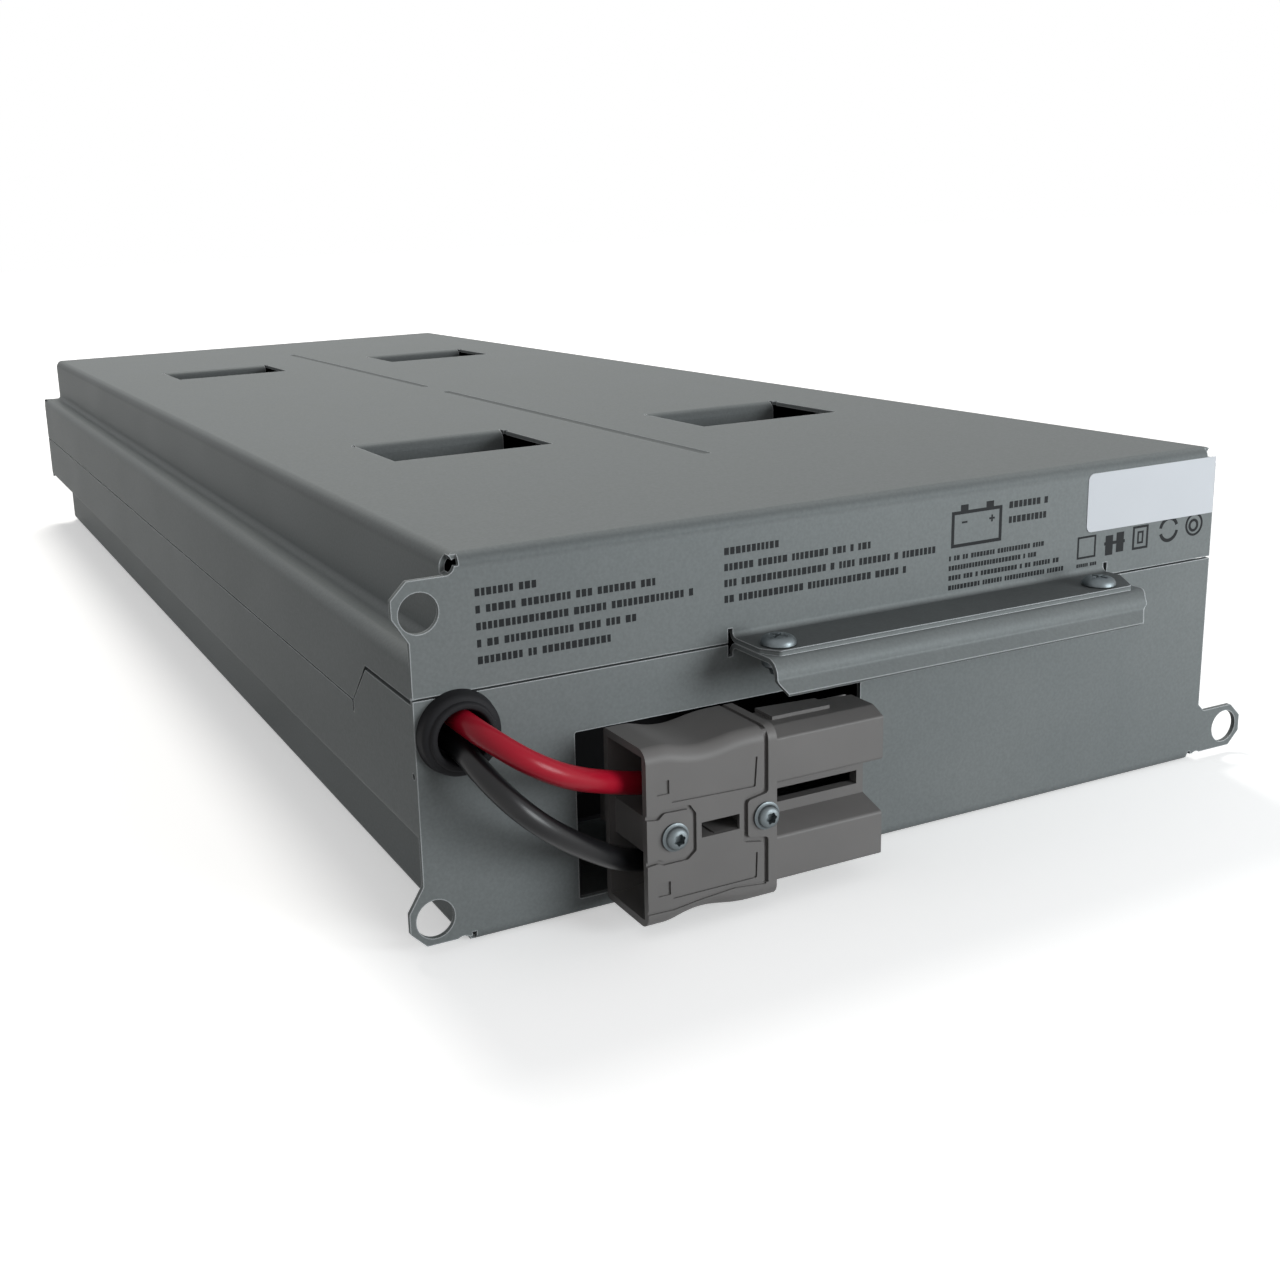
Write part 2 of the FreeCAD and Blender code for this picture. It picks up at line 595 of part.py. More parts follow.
def make_boot():
    """Both boot shells: one body, hollowed for the leads and the housing, split on its middle plane."""
    place = V(0, boot_front_y, boot_middle_z)
    body = Part.Face(boot_outline(0)).extrude(V(0, boot_thickness, 0))
    for radius, depth in ((boot_rounding, 0), (boot_rear_rounding, boot_thickness)):
        long_edges = []
        for edge in body.Edges:
            middle = edge.CenterOfMass
            on_face = edge.BoundBox.YLength < 0.01 and abs(middle.y - depth) < 0.01
            if on_face and abs(middle.z) > boot_half_height / 2:
                long_edges.append(edge)
        body = body.makeFillet(radius, long_edges)
    body.translate(place)

    inner_low = boot_front_y + boot_wall
    inner_high = front_y - boot_wall
    mouth = Part.Face(boot_outline(boot_wall)).extrude(V(0, inner_high - inner_low, 0))
    mouth.translate(V(0, inner_low, boot_middle_z))
    pocket_left = housing_start - 0.3
    pocket_half = housing_half_height - hood_bevel + boot_slip
    wire_room = block((boot_left - 2, inner_low, boot_middle_z - 30), (pocket_left, inner_high, boot_middle_z + 30))
    pocket = block((pocket_left, housing_front_y - boot_slip, boot_middle_z - pocket_half),
                   (boot_right + 1, housing_front_y + housing_thickness + boot_slip,
                    boot_middle_z + pocket_half))
    body = body.cut([mouth.common(wire_room), pocket])

    # the middle wall between the two leads carries the left screw
    divider = block((boot_left + 1.5, inner_low - 0.5, boot_middle_z - boss_half + 0.6),
                    (housing_start - 0.6, inner_high + 0.5, boot_middle_z + boss_half - 0.6))
    bosses = []
    for x in (pilot_left_x, pilot_right_x):
        reach = boss_reach if x == pilot_left_x else boss_reach - 1
        outline = [(x - boss_half, -boss_half), (x + boss_half, -boss_half), (x + boss_half, boss_half),
                   (x - boss_half, boss_half)]
        if x == pilot_right_x:
            outline = [(max(p[0], x - boss_half), p[1]) if p[0] < x else (boot_right, p[1]) for p in outline]
        points = [(a, boot_middle_z + b) for a, b in outline]
        bosses.append(slab(points, 1.2, on_xz(front_y - boot_wall / 2), V(0, boot_wall / 2 + reach, 0)))
    body = body.fuse([divider] + bosses)

    # the front face: a rim at the mating end, a pad under each screw, and sunk panels
    jog = pilot_right_x - pad_half - 0.2
    pad_end = pilot_left_x + pad_half
    marks = []
    for points, width, depth in (
            ([(rim_x, boot_half_height + 1), (rim_x, pad_half + 0.7), (jog, pad_half - 0.2),
              (jog, 0.2 - pad_half), (rim_x, -pad_half - 0.7), (rim_x, 4.2 - boot_half_height)],
             groove_width, groove_depth),
            ([(boot_left - 1, pad_half + 0.5), (boot_left + 2.6, pad_half), (boot_left + 4.0, pad_half + 1.2),
              (pad_end - 1.2, pad_half + 1.0), (pad_end, pad_half - 0.8), (pad_end, 0.8 - pad_half),
              (pad_end - 1.8, -pad_half - 0.6), (boot_left + 4.0, -pad_half - 0.6),
              (boot_left + 2.6, -pad_half), (boot_left - 1, -pad_half - 0.3)],
             groove_width * 0.8, groove_depth * 0.8),
            ([(rim_x, 4.2 - boot_half_height), (boot_left + 21, 5.0 - boot_half_height),
              (boot_left + 13, 4.4 - boot_half_height), (boot_left + 6, 3.6 - boot_half_height),
              (boot_left - 1, 3.8 - boot_half_height)], groove_width * 0.6, groove_depth * 0.5),
            ([(boot_left + 6.0, pad_half + 3.0), (rim_x - 2.9, pad_half + 2.4), (rim_x - 2.4, pad_half + 8.8)],
             line_width, line_depth),
            ([(boot_left + 6.0, -pad_half - 8.8), (rim_x - 2.6, -pad_half - 8.8), (rim_x - 2.4, -pad_half - 3.2)],
             line_width, line_depth)):
        marks.append(groove(points, width, depth))
    for sign in (1, -1):
        middle = boot_middle_z + sign * mark_offset
        marks.append(block((boot_left + 2.4, boot_front_y - 1, middle - mark_half),
                           (boot_left + 2.4 + 2 * mark_half, boot_front_y + line_depth, middle + mark_half)))
    marks.append(block((boot_left + 13.0, boot_front_y - 1, boot_middle_z - vent_half),
                       (jog - 1.6, boot_middle_y - 1, boot_middle_z + vent_half)))
    ring_high = boot_half_height - groove_depth
    ring = block((rim_x - groove_width / 2, boot_front_y - 1, boot_middle_z - boot_half_height - 1),
                 (rim_x + groove_width / 2, front_y + 1, boot_middle_z + boot_half_height + 1))
    ring_core = block((rim_x - 2, boot_front_y - 2, boot_middle_z - boot_half_height - 2),
                      (rim_x + 2, front_y + 2, boot_middle_z + ring_high))
    marks.append(ring.cut(ring_core))
    body = body.cut(marks)

    holes = []
    for x in (pilot_left_x, pilot_right_x):
        holes.append(rod(m3_radius + m3_clearance, V(x, boot_front_y - 1, boot_middle_z), V(0, 22.5, 0)))
    body = body.cut(holes)

    front_half = block((boot_left - 5, boot_front_y - 5, -5), (boot_right + 5, boot_middle_y, 60))
    rear_half = block((boot_left - 5, boot_middle_y, -5), (boot_right + 5, front_y + 20, 60))
    return body.common(front_half), body.common(rear_half)


def make_connector_housing():
    """A two-pole genderless housing: two hooded columns on a web, and a plain body inside the boot."""
    rear = housing_front_y + housing_thickness
    body_half = housing_half_height - hood_bevel
    web_front = boot_middle_y - web_thickness / 2
    web_rear = boot_middle_y + web_thickness / 2
    pieces = [block((boot_right - 1, web_front, boot_middle_z - column_inner),
                    (housing_end, web_rear, boot_middle_z + column_inner)),
              block((housing_start, housing_front_y, boot_middle_z - body_half),
                    (boot_right, rear, boot_middle_z + body_half))]
    cuts = [block((boot_right + 0.6, web_front - 1, boot_middle_z - slot_half),
                  (housing_end - slot_stop, web_rear + 1, boot_middle_z + slot_half)),
            block((housing_start - 1, housing_front_y - 1, boot_middle_z - vent_half),
                  (pilot_right_x - pad_half, boot_middle_y, boot_middle_z + vent_half)),
            rod(m3_radius + m3_clearance, V(pilot_right_x, housing_front_y - 1, boot_middle_z),
                V(0, housing_thickness + 2, 0))]
    for sign in (1, -1):
        half = housing_half_height
        web_edge = column_inner - 2.2
        section = [(housing_front_y, column_inner), (housing_front_y, column_outer),
                   (housing_front_y + 3.6, half), (rear - 3.6, half), (rear, column_outer),
                   (rear, column_inner), (web_rear, web_edge), (web_front, web_edge)]
        points = [(y, boot_middle_z + sign * z) for y, z in section]
        pieces.append(slab(points, [0.8, 0.6, 1.2, 1.2, 0.6, 0.8, 0, 0], on_yz(boot_right),
                           V(housing_end - boot_right, 0, 0)))

        # a raised latch tongue on the hood, a slit beside it, and a bevelled mouth
        top = boot_middle_z + sign * half
        proud = boot_middle_z + sign * (half + tongue_proud)
        tongue = [(tongue_start, boot_middle_y - 1.7), (housing_end - 9.7, boot_middle_y - 1.7),
                  (housing_end - 9.7, boot_middle_y + 3.6), (tongue_start, boot_middle_y + 5.0)]
        pieces.append(slab(tongue, 0, on_xy(boot_middle_z + sign * (half - 1)),
                           V(0, 0, sign * (1 + tongue_proud))))
        cuts.append(block((housing_end - 8.0, boot_middle_y + 3.4, min(top - sign * 2, proud)),
                          (housing_end + 1, boot_middle_y + 5.4, max(top - sign * 2, proud))))
        low = boot_middle_z + sign * blade_middle - cavity_half
        cuts.append(block((housing_end - cavity_depth, boot_middle_y - 6.0, low),
                          (housing_end + 1, boot_middle_y + 6.0, low + 2 * cavity_half)))
        pole = boot_middle_z + sign * pole_pitch / 2
        cuts.append(rod(crimp_radius + contact_slip, V(housing_start - 1, boot_middle_y, pole),
                        V(housing_length - cavity_depth + 1.5, 0, 0)))
        blade = boot_middle_z + sign * blade_middle
        blade_room = blade_width / 2 + contact_slip
        cuts.append(block((housing_start + crimp_length - 2, boot_middle_y - 2.4, blade - blade_room),
                          (housing_end - cavity_depth + 1, boot_middle_y + blade_back, blade + blade_room)))
    housing = pieces[0].fuse(pieces[1:])
    return housing.cut(cuts).removeSplitter()


def make_contact(sign):
    """A silver-plated copper contact: a crimp barrel for the lead, and a flat blade with a hooked tip."""
    start = housing_start + 0.5
    pole = boot_middle_z + sign * pole_pitch / 2
    barrel = rod(crimp_radius, V(start, boot_middle_y, pole), V(crimp_length, 0, 0))
    bore = rod(lead_radius, V(start - 1, boot_middle_y, pole), V(crimp_length - 1.5, 0, 0))
    blade_start = start + crimp_length - 1
    blade_end = blade_start + blade_length
    profile = [(blade_start, -1.0), (blade_end - 3.0, -1.0), (blade_end, -2.2), (blade_end + 1.0, -1.2),
               (blade_end - 2.0, blade_back), (blade_start, blade_back)]
    points = [(x, boot_middle_y + y) for x, y in profile]
    low = boot_middle_z + sign * blade_middle - blade_width / 2
    blade = slab(points, [0, 0.5, 0.8, 0.3, 0.5, 0], on_xy(low), V(0, 0, blade_width))
    return barrel.fuse(blade).cut(bore).removeSplitter()


# ---------------------------------------------------------------- screws and nuts
def make_screw(radius, length, head_radius, head_height, seat, inward):
    """A pan-head screw: a domed head outside its seat, and a shank along the inward way."""
    dome = head_height * 0.55
    section = [(0, head_height), (head_radius * 0.62, head_height), (head_radius, dome), (head_radius, 0),
               (radius, 0), (radius, -length + 0.6), (radius - 0.5, -length), (0, -length)]
    wire = closed_wire(section, [0, 1.0, 0.7, 0, 0, 0, 0, 0], lambda a, b: V(a, 0, b))
    screw = Part.Face(wire).revolve(V(0, 0, 0), V(0, 0, 1), 360)
    socket = Part.makeCylinder(head_radius * 0.32, head_height, V(0, 0, head_height * 0.45))
    screw = screw.cut(socket)
    turn = FreeCAD.Rotation(V(0, 0, -1), inward)
    screw.Placement = FreeCAD.Placement(seat, turn)
    return screw


def make_handle_screws():
    seat_z = front_seam + sheet
    return [make_screw(m4_radius, 6.5, m4_head_radius, m4_head_height, V(x, screw_y, seat_z), V(0, 0, -1))
            for x in (screw_left_x, screw_right_x)]


def make_clinch_nuts():
    """Round nuts pressed under the grip, open right through for the handle screws."""
    top = front_seam - sheet
    nuts = []
    for x in (screw_left_x, screw_right_x):
        nut = Part.makeCylinder(clinch_radius, clinch_height, V(x, screw_y, top - clinch_height))
        foot = top - clinch_height
        rim = [e for e in nut.Edges if abs(e.CenterOfMass.z - foot) < 0.01 and e.Closed]
        nut = nut.makeChamfer(0.4, rim)
        nuts.append(nut.cut(rod(m4_radius + 0.05, V(x, screw_y, top - 10), V(0, 0, 20))))
    return nuts


def make_boot_screws():
    return [make_screw(m3_radius, 20.0, m3_head_radius, m3_head_height,
                       V(x, boot_front_y, boot_middle_z), V(0, 1, 0))
            for x in (pilot_left_x, pilot_right_x)]


# ---------------------------------------------------------------- leads
def tube(points, radius, name):
    """A lead: straight runs joined by tangent arcs as large as the runs allow."""
    route = [V(*p) for p in points]
    edges = []
    start = route[0]
    length = 0.0
    radii = []
    for i in range(1, len(route) - 1):
        before = route[i] - route[i - 1]
        after = route[i + 1] - route[i]
        shorter = min(before.Length, after.Length)
        before.normalize()
        after.normalize()
        turn = before.getAngle(after)
        arc_radius = 0.45 * shorter / math.tan(turn / 2)
        reach = 0.45 * shorter
        first = route[i] - before * reach
        last = route[i] + after * reach
        inward = after - before
        inward.normalize()
        middle = route[i] + inward * (arc_radius / math.cos(turn / 2) - arc_radius)
        edges.append(Part.LineSegment(start, first).toShape())
        edges.append(Part.Arc(first, middle, last).toShape())
        length += (first - start).Length + arc_radius * turn
        start = last
        radii.append(arc_radius)
    edges.append(Part.LineSegment(start, route[-1]).toShape())
    length += (route[-1] - start).Length
    path = Part.Wire(edges)
    way = route[1] - route[0]
    section = Part.Wire(Part.makeCircle(radius, route[0], way))
    shape = path.makePipeShell([section], True, True)
    expected = math.pi * radius ** 2 * length
    print("%s: length %.1f, least radius %.1f, radii %s, volume ratio %.4f"
          % (name, length, min(radii), [round(r, 1) for r in radii], shape.Volume / expected))
    return shape


def from_front(points):
    """Route points given from the case front, as (x, y, z)."""
    return [(x, front_y + y, z) for x, y, z in points]


crimp_mouth = housing_start + 0.5 + crimp_length - 2.5
splice_y = 17.0
exit_spread = (1.0, 2.9)
red_exit = (grommet_x + exit_spread[0] / 2, grommet_z + exit_spread[1])
black_exit = (grommet_x - exit_spread[0] / 2, grommet_z - exit_spread[1])

red_route = from_front([
    (red_exit[0], splice_y, red_exit[1]),
    (red_exit[0], 9.6, red_exit[1]),
    (red_exit[0] - 0.3, 2.0, red_exit[1] + 0.1),
    (-104.3, -5.2, 49.9),
    (-101.9, -11.0, 48.1),
    (-97.2, -14.9, 44.6),
    (-91.0, -15.6, 40.8),
    (-84.2, -13.8, 37.4),
    (-77.2, -11.3, 34.6),
    (-70.4, -9.4, 32.3),
    (-63.6, -9.0, boot_middle_z + pole_pitch / 2),
    (-57.6, -9.0, boot_middle_z + pole_pitch / 2),
])

black_route = from_front([
    (black_exit[0], splice_y, black_exit[1]),
    (black_exit[0], 9.6, black_exit[1]),
    (black_exit[0] + 0.1, 2.0, black_exit[1] + 0.3),
    (-105.2, -5.8, 44.0),
    (-103.4, -11.6, 40.4),
    (-99.8, -15.4, 35.8),
    (-94.7, -16.4, 30.9),
    (-88.6, -15.0, 26.0),
    (-82.4, -12.9, 21.6),
    (-75.9, -10.8, 17.4),
    (-69.6, -9.3, 14.6),
    (-63.4, -9.0, boot_middle_z - pole_pitch / 2),
    (-57.6, -9.0, boot_middle_z - pole_pitch / 2),
])


def make_lead(route, name):
    """The bent lead and its straight end in the contact's barrel."""
    bent = tube(route, lead_radius, name)
    stub = rod(lead_radius, V(*route[-1]), V(crimp_mouth - route[-1][0], 0, 0))
    return bent.fuse(stub).removeSplitter()


# ---------------------------------------------------------------- battery blocks
row_front = front_y + wiring_room
block_low = sheet + floor_foam
block_top = block_low + block_z
terminal_z = block_low + terminal_height
column_pitch = block_x + terminal_room


def row_start(row):
    """The front of a row; the flaps stand in the gaps after the first row and before the last."""
    flaps_passed = (1 if row >= 1 else 0) + (1 if row >= rows - 1 else 0)
    return row_front + row * (block_y + row_gap) + flaps_passed * flap_room


def column_left(column):
    """The left face of a column's blocks."""
    return inside_left + block_clearance + column * column_pitch


def terminal_places(y):
    return y + terminal_inset, y + block_y - terminal_inset


def make_battery(row, column):
    """A sealed block: case and lid with a shadow line, and a recess round each terminal."""
    x = column_left(column)
    y = row_start(row)
    case = block((x, y, block_low), (x + block_x, y + block_y, block_top))
    case = case.makeFillet(1.5, edges_along(case, V(1, 0, 0), lambda c: True))
    line = block((x + lid_depth, y - 1, block_low - 1), (x + lid_depth + 0.6, y + block_y + 1, block_top + 1))
    core = block((x + lid_depth - 1, y + 0.5, block_low + 0.5),
                 (x + lid_depth + 2, y + block_y - 0.5, block_top - 0.5))
    case = case.cut(line.cut(core))
    recesses = []
    for place in terminal_places(y):
        recesses.append(block((x - 1, place - recess_half, terminal_z - recess_half),
                              (x + terminal_root, place + recess_half, terminal_z + recess_half)))
    return case.cut(recesses)


def make_terminals():
    """Spade tabs, two on each block, standing out of their recesses."""
    tabs = []
    for column in range(columns):
        root = column_left(column) + terminal_root
        for row in range(rows):
            for place in terminal_places(row_start(row)):
                near = place - terminal_thickness / 2
                tab = block((root - terminal_reach, near, terminal_z - terminal_width / 2),
                            (root, near + terminal_thickness, terminal_z + terminal_width / 2))
                ends = edges_along(tab, V(0, 1, 0), lambda c: c.x < root - 1)
                tabs.append(tab.makeChamfer(1.0, ends))
    return tabs


def make_link_straps():
    """Folded copper straps that join each block to the next in its column."""
    straps = []
    for column in range(columns):
        root = column_left(column) + terminal_root
        tip = root - terminal_reach - link_thickness
        for row in range(rows - 1):
            near = terminal_places(row_start(row))[1] + terminal_thickness / 2
            far = terminal_places(row_start(row + 1))[0] - terminal_thickness / 2
            outline = [(root - link_grip, near), (root - link_grip, near + link_thickness),
                       (tip + link_thickness, near + link_thickness),
                       (tip + link_thickness, far - link_thickness),
                       (root - link_grip, far - link_thickness), (root - link_grip, far), (tip, far), (tip, near)]
            straps.append(slab(outline, 0, on_xy(terminal_z - terminal_width / 2), V(0, 0, terminal_width)))
    return straps


# ---------------------------------------------------------------- inner leads
receptacle_half = 1.9
receptacle_length = 9.0


def lead_x(column):
    """Where an inner lead runs, beside the face of a column's blocks."""
    return column_left(column) - pack_lead_radius - 0.3


def receptacle_start(row, end):
    """Where a receptacle begins along y: before the front tab, or behind the rear one."""
    place = terminal_places(row_start(row))[end]
    return place - terminal_thickness / 2 - receptacle_length if end == 0 else place + terminal_thickness / 2


def make_receptacles():
    """Crimped connectors that take the inner leads to the end tabs of each column."""
    pieces = []
    for column in range(columns):
        for row, end in ((0, 0), (rows - 1, 1)):
            y = receptacle_start(row, end)
            body = block((lead_x(column) - receptacle_half, y, terminal_z - 3.4),
                         (lead_x(column) + receptacle_half, y + receptacle_length, terminal_z + 3.4))
            pieces.append(body.makeFillet(0.6, edges_along(body, V(0, 1, 0), lambda c: True)))
    return pieces


def make_splices():
    """Crimped butt splices that end the pigtail behind the grommet."""
    splices = []
    for x, z in (red_exit, black_exit):
        body = rod(splice_radius, V(x, front_y + splice_y, z), V(0, splice_length, 0))
        splices.append(body.makeChamfer(0.8, [e for e in body.Edges if e.Closed]))
    return splices


def make_pack_leads():
    """The leads from the splices to the first block of each column; the black one crosses the wiring bay."""
    start = splice_y + splice_length
    end = receptacle_start(0, 0) - front_y
    bay = end - start
    left = lead_x(0)
    right = lead_x(1)
    red = [(red_exit[0], start, red_exit[1]), (red_exit[0], start + 0.22 * bay, red_exit[1]),
           (left, start + 0.52 * bay, terminal_z - 0.2), (left, end, terminal_z - 0.2)]
    span = right - black_exit[0]
    sag = black_exit[1] - tray_edge * 0.69
    lift = terminal_z - black_exit[1]
    crossing = ((0, 0.14, 0), (0.02, 0.29, -0.13), (0.07, 0.38, -0.44), (0.16, 0.40, -0.74),
                (0.32, 0.375, -0.98), (0.53, 0.39, -1.0), (0.71, 0.38, -0.74), (0.84, 0.39, -0.33))
    black = [(black_exit[0], start, black_exit[1])]
    for across, back, down in crossing:
        black.append((black_exit[0] + across * span, start + back * bay, black_exit[1] + down * sag))
    black += [(black_exit[0] + 0.93 * span, start + 0.45 * bay, black_exit[1] + 0.2 * lift),
              (black_exit[0] + 0.985 * span, start + 0.61 * bay, black_exit[1] + 0.75 * lift),
              (right, start + 0.8 * bay, terminal_z), (right, end, terminal_z)]
    return tube(from_front(red), pack_lead_radius, "pack_lead_positive"), \
        tube(from_front(black), pack_lead_radius, "pack_lead_negative")


def make_cross_link():
    """The rear link between the last blocks of the two columns."""
    start = receptacle_start(rows - 1, 1) + receptacle_length
    behind = blocks_end() + link_room / 2
    left = lead_x(0)
    right = lead_x(1)
    span = right - left
    out = start + link_room * 0.16
    sag = link_room * 0.45
    crossing = ((0.03, -0.11, -0.11), (0.085, 0, -0.33), (0.18, 0.02, -0.64), (0.34, 0, -0.92),
                (0.53, 0.02, -1.0), (0.72, 0, -0.83), (0.83, 0.02, -0.56), (0.915, 0, -0.28),
                (0.97, -0.11, -0.08))
    points = [(left, start, terminal_z), (left, out, terminal_z)]
    for across, back, down in crossing:
        points.append((left + across * span, behind + back * link_room, terminal_z + down * sag))
    points += [(right, out, terminal_z), (right, start, terminal_z)]
    return tube(points, pack_lead_radius, "cross_link")


# ---------------------------------------------------------------- packing
def blocks_end():
    return row_start(rows - 1) + block_y


def make_floor_foam():
    return block((flat_left, row_front, sheet), (flat_right, blocks_end(), block_low))


def make_top_pads():
    """Foam pads, one on each block, pressed against the cover."""
    pads = []
    for column in range(columns):
        middle = column_left(column) + block_x / 2
        for row in range(rows):
            y = row_start(row)
            pads.append(block((middle - pad_width / 2, y + pad_front, block_top),
                              (middle + pad_width / 2, y + pad_front + pad_length, case_height - sheet)))
    return pads


def make_rear_spacer():
    """A foam bar that keeps the rows from sliding back."""
    return block((flat_left, blocks_end() + link_room, sheet),
                 (flat_right, rear_y - 2 * sheet - board_clearance / 2, spacer_height))


def make_front_divider():
    """A folded insulating board between the blocks and the wiring bay, notched for the leads."""
    y = row_front - board - board_clearance
    low = V(flat_left, 0, sheet)
    high = V(flat_right, 0, case_height - sheet - 1)
    sheet_run = [(y - board_foot, low.z), (y + board, low.z), (y + board, high.z), (y, high.z),
                 (y, low.z + board), (y - board_foot, low.z + board)]
    wall = slab(sheet_run, 0, on_yz(low.x), V(high.x - low.x, 0, 0))
    notches = []
    for column in range(columns):
        x = lead_x(column)
        notches.append(block((x - 6, y - 1, terminal_z - 6), (x + 6, y + board + 1, terminal_z + 6)))
    return wall.cut(notches).removeSplitter()


def make_terminal_sheet():
    """An insulating strip inside the belly, between the terminals and the steel."""
    x = belly_x + 2 * sheet
    inset = side_bend + sheet
    return block((x, row_front + 2, belly_low + inset), (x + 0.5, blocks_end() - 2, belly_high - inset))


def make_label():
    """A blank white label on the front flange."""
    low = (label_left, label_low)
    high = (right_x - 0.3, case_height - bend_out)
    return slab([low, (high[0], low[1]), high, (low[0], high[1])], [1.6, 0.2, 0.2, 1.6],
                on_xz(front_y - label_thickness), V(0, label_thickness, 0))


# ---------------------------------------------------------------- write every node
save(make_top_cover(), "top_cover")
save(make_base_tray(), "base_tray")
save(make_grommet(), "grommet")
front_shell, rear_shell = make_boot()
save(front_shell, "boot_front_shell")
save(rear_shell, "boot_rear_shell")
save(make_connector_housing(), "connector_housing")
save(make_contact(1), "contact_positive")
save(make_contact(-1), "contact_negative")
save(Part.makeCompound(make_boot_screws()), "boot_screws")
save(Part.makeCompound(make_handle_screws()), "handle_screws")
save(Part.makeCompound(make_clinch_nuts()), "clinch_nuts")
save(make_lead(red_route, "red_lead"), "red_lead")
save(make_lead(black_route, "black_lead"), "black_lead")
save(Part.makeCompound(make_splices()), "lead_splices")
for column in range(columns):
    for row in range(rows):
        save(make_battery(row, column), "battery_block_%02d" % (column * rows + row + 1))
save(Part.makeCompound(make_terminals()), "battery_terminals")
save(Part.makeCompound(make_link_straps()), "link_straps")
save(Part.makeCompound(make_receptacles()), "lead_receptacles")
positive, negative = make_pack_leads()
save(positive, "pack_lead_positive")
save(negative, "pack_lead_negative")
save(make_cross_link(), "cross_link")
save(make_floor_foam(), "floor_foam")
save(Part.makeCompound(make_top_pads()), "top_foam_pads")
save(make_rear_spacer(), "rear_spacer")
save(make_front_divider(), "front_divider")
save(make_terminal_sheet(), "terminal_sheet")
save(make_label(), "blank_label")
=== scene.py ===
import math

import bmesh
import bpy
from mathutils import Euler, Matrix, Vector


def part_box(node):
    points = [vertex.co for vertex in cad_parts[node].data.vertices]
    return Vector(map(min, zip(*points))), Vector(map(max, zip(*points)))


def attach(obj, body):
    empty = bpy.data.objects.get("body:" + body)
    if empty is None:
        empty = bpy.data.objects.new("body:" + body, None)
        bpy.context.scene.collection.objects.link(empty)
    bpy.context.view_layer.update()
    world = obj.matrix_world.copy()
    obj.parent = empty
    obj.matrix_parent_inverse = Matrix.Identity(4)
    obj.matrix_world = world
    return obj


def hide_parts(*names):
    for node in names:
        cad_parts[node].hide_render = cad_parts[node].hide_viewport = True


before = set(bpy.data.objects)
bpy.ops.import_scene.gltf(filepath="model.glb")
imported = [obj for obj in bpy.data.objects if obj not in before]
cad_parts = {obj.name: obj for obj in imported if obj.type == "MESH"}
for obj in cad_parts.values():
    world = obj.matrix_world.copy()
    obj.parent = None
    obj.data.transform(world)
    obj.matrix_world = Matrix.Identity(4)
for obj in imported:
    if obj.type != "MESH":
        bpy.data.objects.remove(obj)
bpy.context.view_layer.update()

MM = 0.001

# A UPS battery cartridge: a zinc-coated sheet-steel case with a power connector on a red and black pigtail.
# Lengths are in metres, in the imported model's own frame: X to the right, Y to the back, Z up.

BOOT_REAR = 9 * MM             # depth of the boot's rear shell, which stands against the case's front face
PAN_RADIUS = 4.0 * MM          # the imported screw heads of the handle
PAN_HEIGHT = 2.6 * MM
SOCKET_RADIUS = 3.1 * MM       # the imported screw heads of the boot
SOCKET_HEIGHT = 2.2 * MM
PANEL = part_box("boot_rear_shell")[0].y + BOOT_REAR        # the case's front face
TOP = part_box("top_cover")[1].z
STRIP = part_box("handle_screws")[1].z - PAN_HEIGHT         # the handle's upper strip, under the screw heads
NOISE_SPAN = {"From Min": 0.3, "From Max": 0.7}           # where nearly all of a noise texture's values lie


# ------------------------------------------------------------------ small helpers
def srgb(code):
    """A linear colour from an sRGB hex code."""
    channels = [int(code[i:i + 2], 16) / 255 for i in (1, 3, 5)]
    linear = [c / 12.92 if c <= 0.04045 else ((c + 0.055) / 1.055) ** 2.4 for c in channels]
    return (*linear, 1.0)


def add(tree, kind, links=None, values=None, **settings):
    """A new node with its settings, its input values, and its links from other sockets."""
    made = tree.nodes.new(kind)
    for name, value in settings.items():
        setattr(made, name, value)
    for name, value in (values or {}).items():
        made.inputs[name].default_value = value
    for name, socket in (links or {}).items():
        tree.links.new(socket, made.inputs[name])
    return made


def new_material(name):
    """An empty node material with its shader and output."""
    material = bpy.data.materials.new(name)
    material.use_nodes = True
    tree = material.node_tree
    tree.nodes.clear()
    shader = add(tree, "ShaderNodeBsdfPrincipled")
    output = add(tree, "ShaderNodeOutputMaterial")
    tree.links.new(shader.outputs["BSDF"], output.inputs["Surface"])
    return material, tree, shader


def dress(node, material):
    """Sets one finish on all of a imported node."""
    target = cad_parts[node]
    if not target.material_slots:
        target.data.materials.append(material)
    for place in target.material_slots:
        place.material = material


def mesh_piece(name, material, build):
    """A new mesh object made by a bmesh builder, riding with the case."""
    shape = bmesh.new()
    build(shape)
    data = bpy.data.meshes.new(name)
    shape.to_mesh(data)
    shape.free()
    data.materials.append(material)
    piece = bpy.data.objects.new(name, data)
    bpy.context.scene.collection.objects.link(piece)
    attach(piece, "root")
    return piece


def object_space(tree, scale):
    """Object coordinates stretched by a scale along each axis."""
    place = add(tree, "ShaderNodeTexCoord")
    mapping = add(tree, "ShaderNodeMapping", {"Vector": place.outputs["Object"]})
    mapping.inputs["Scale"].default_value = scale
    return mapping.outputs["Vector"]


# ------------------------------------------------------------------ materials
CLOUDS_PER_METRE = 28.0        # patches of film about 36 mm across
SPECKS_PER_METRE = 1400.0      # zinc crystals of 0.7 mm, coarser than the real ones so that they show


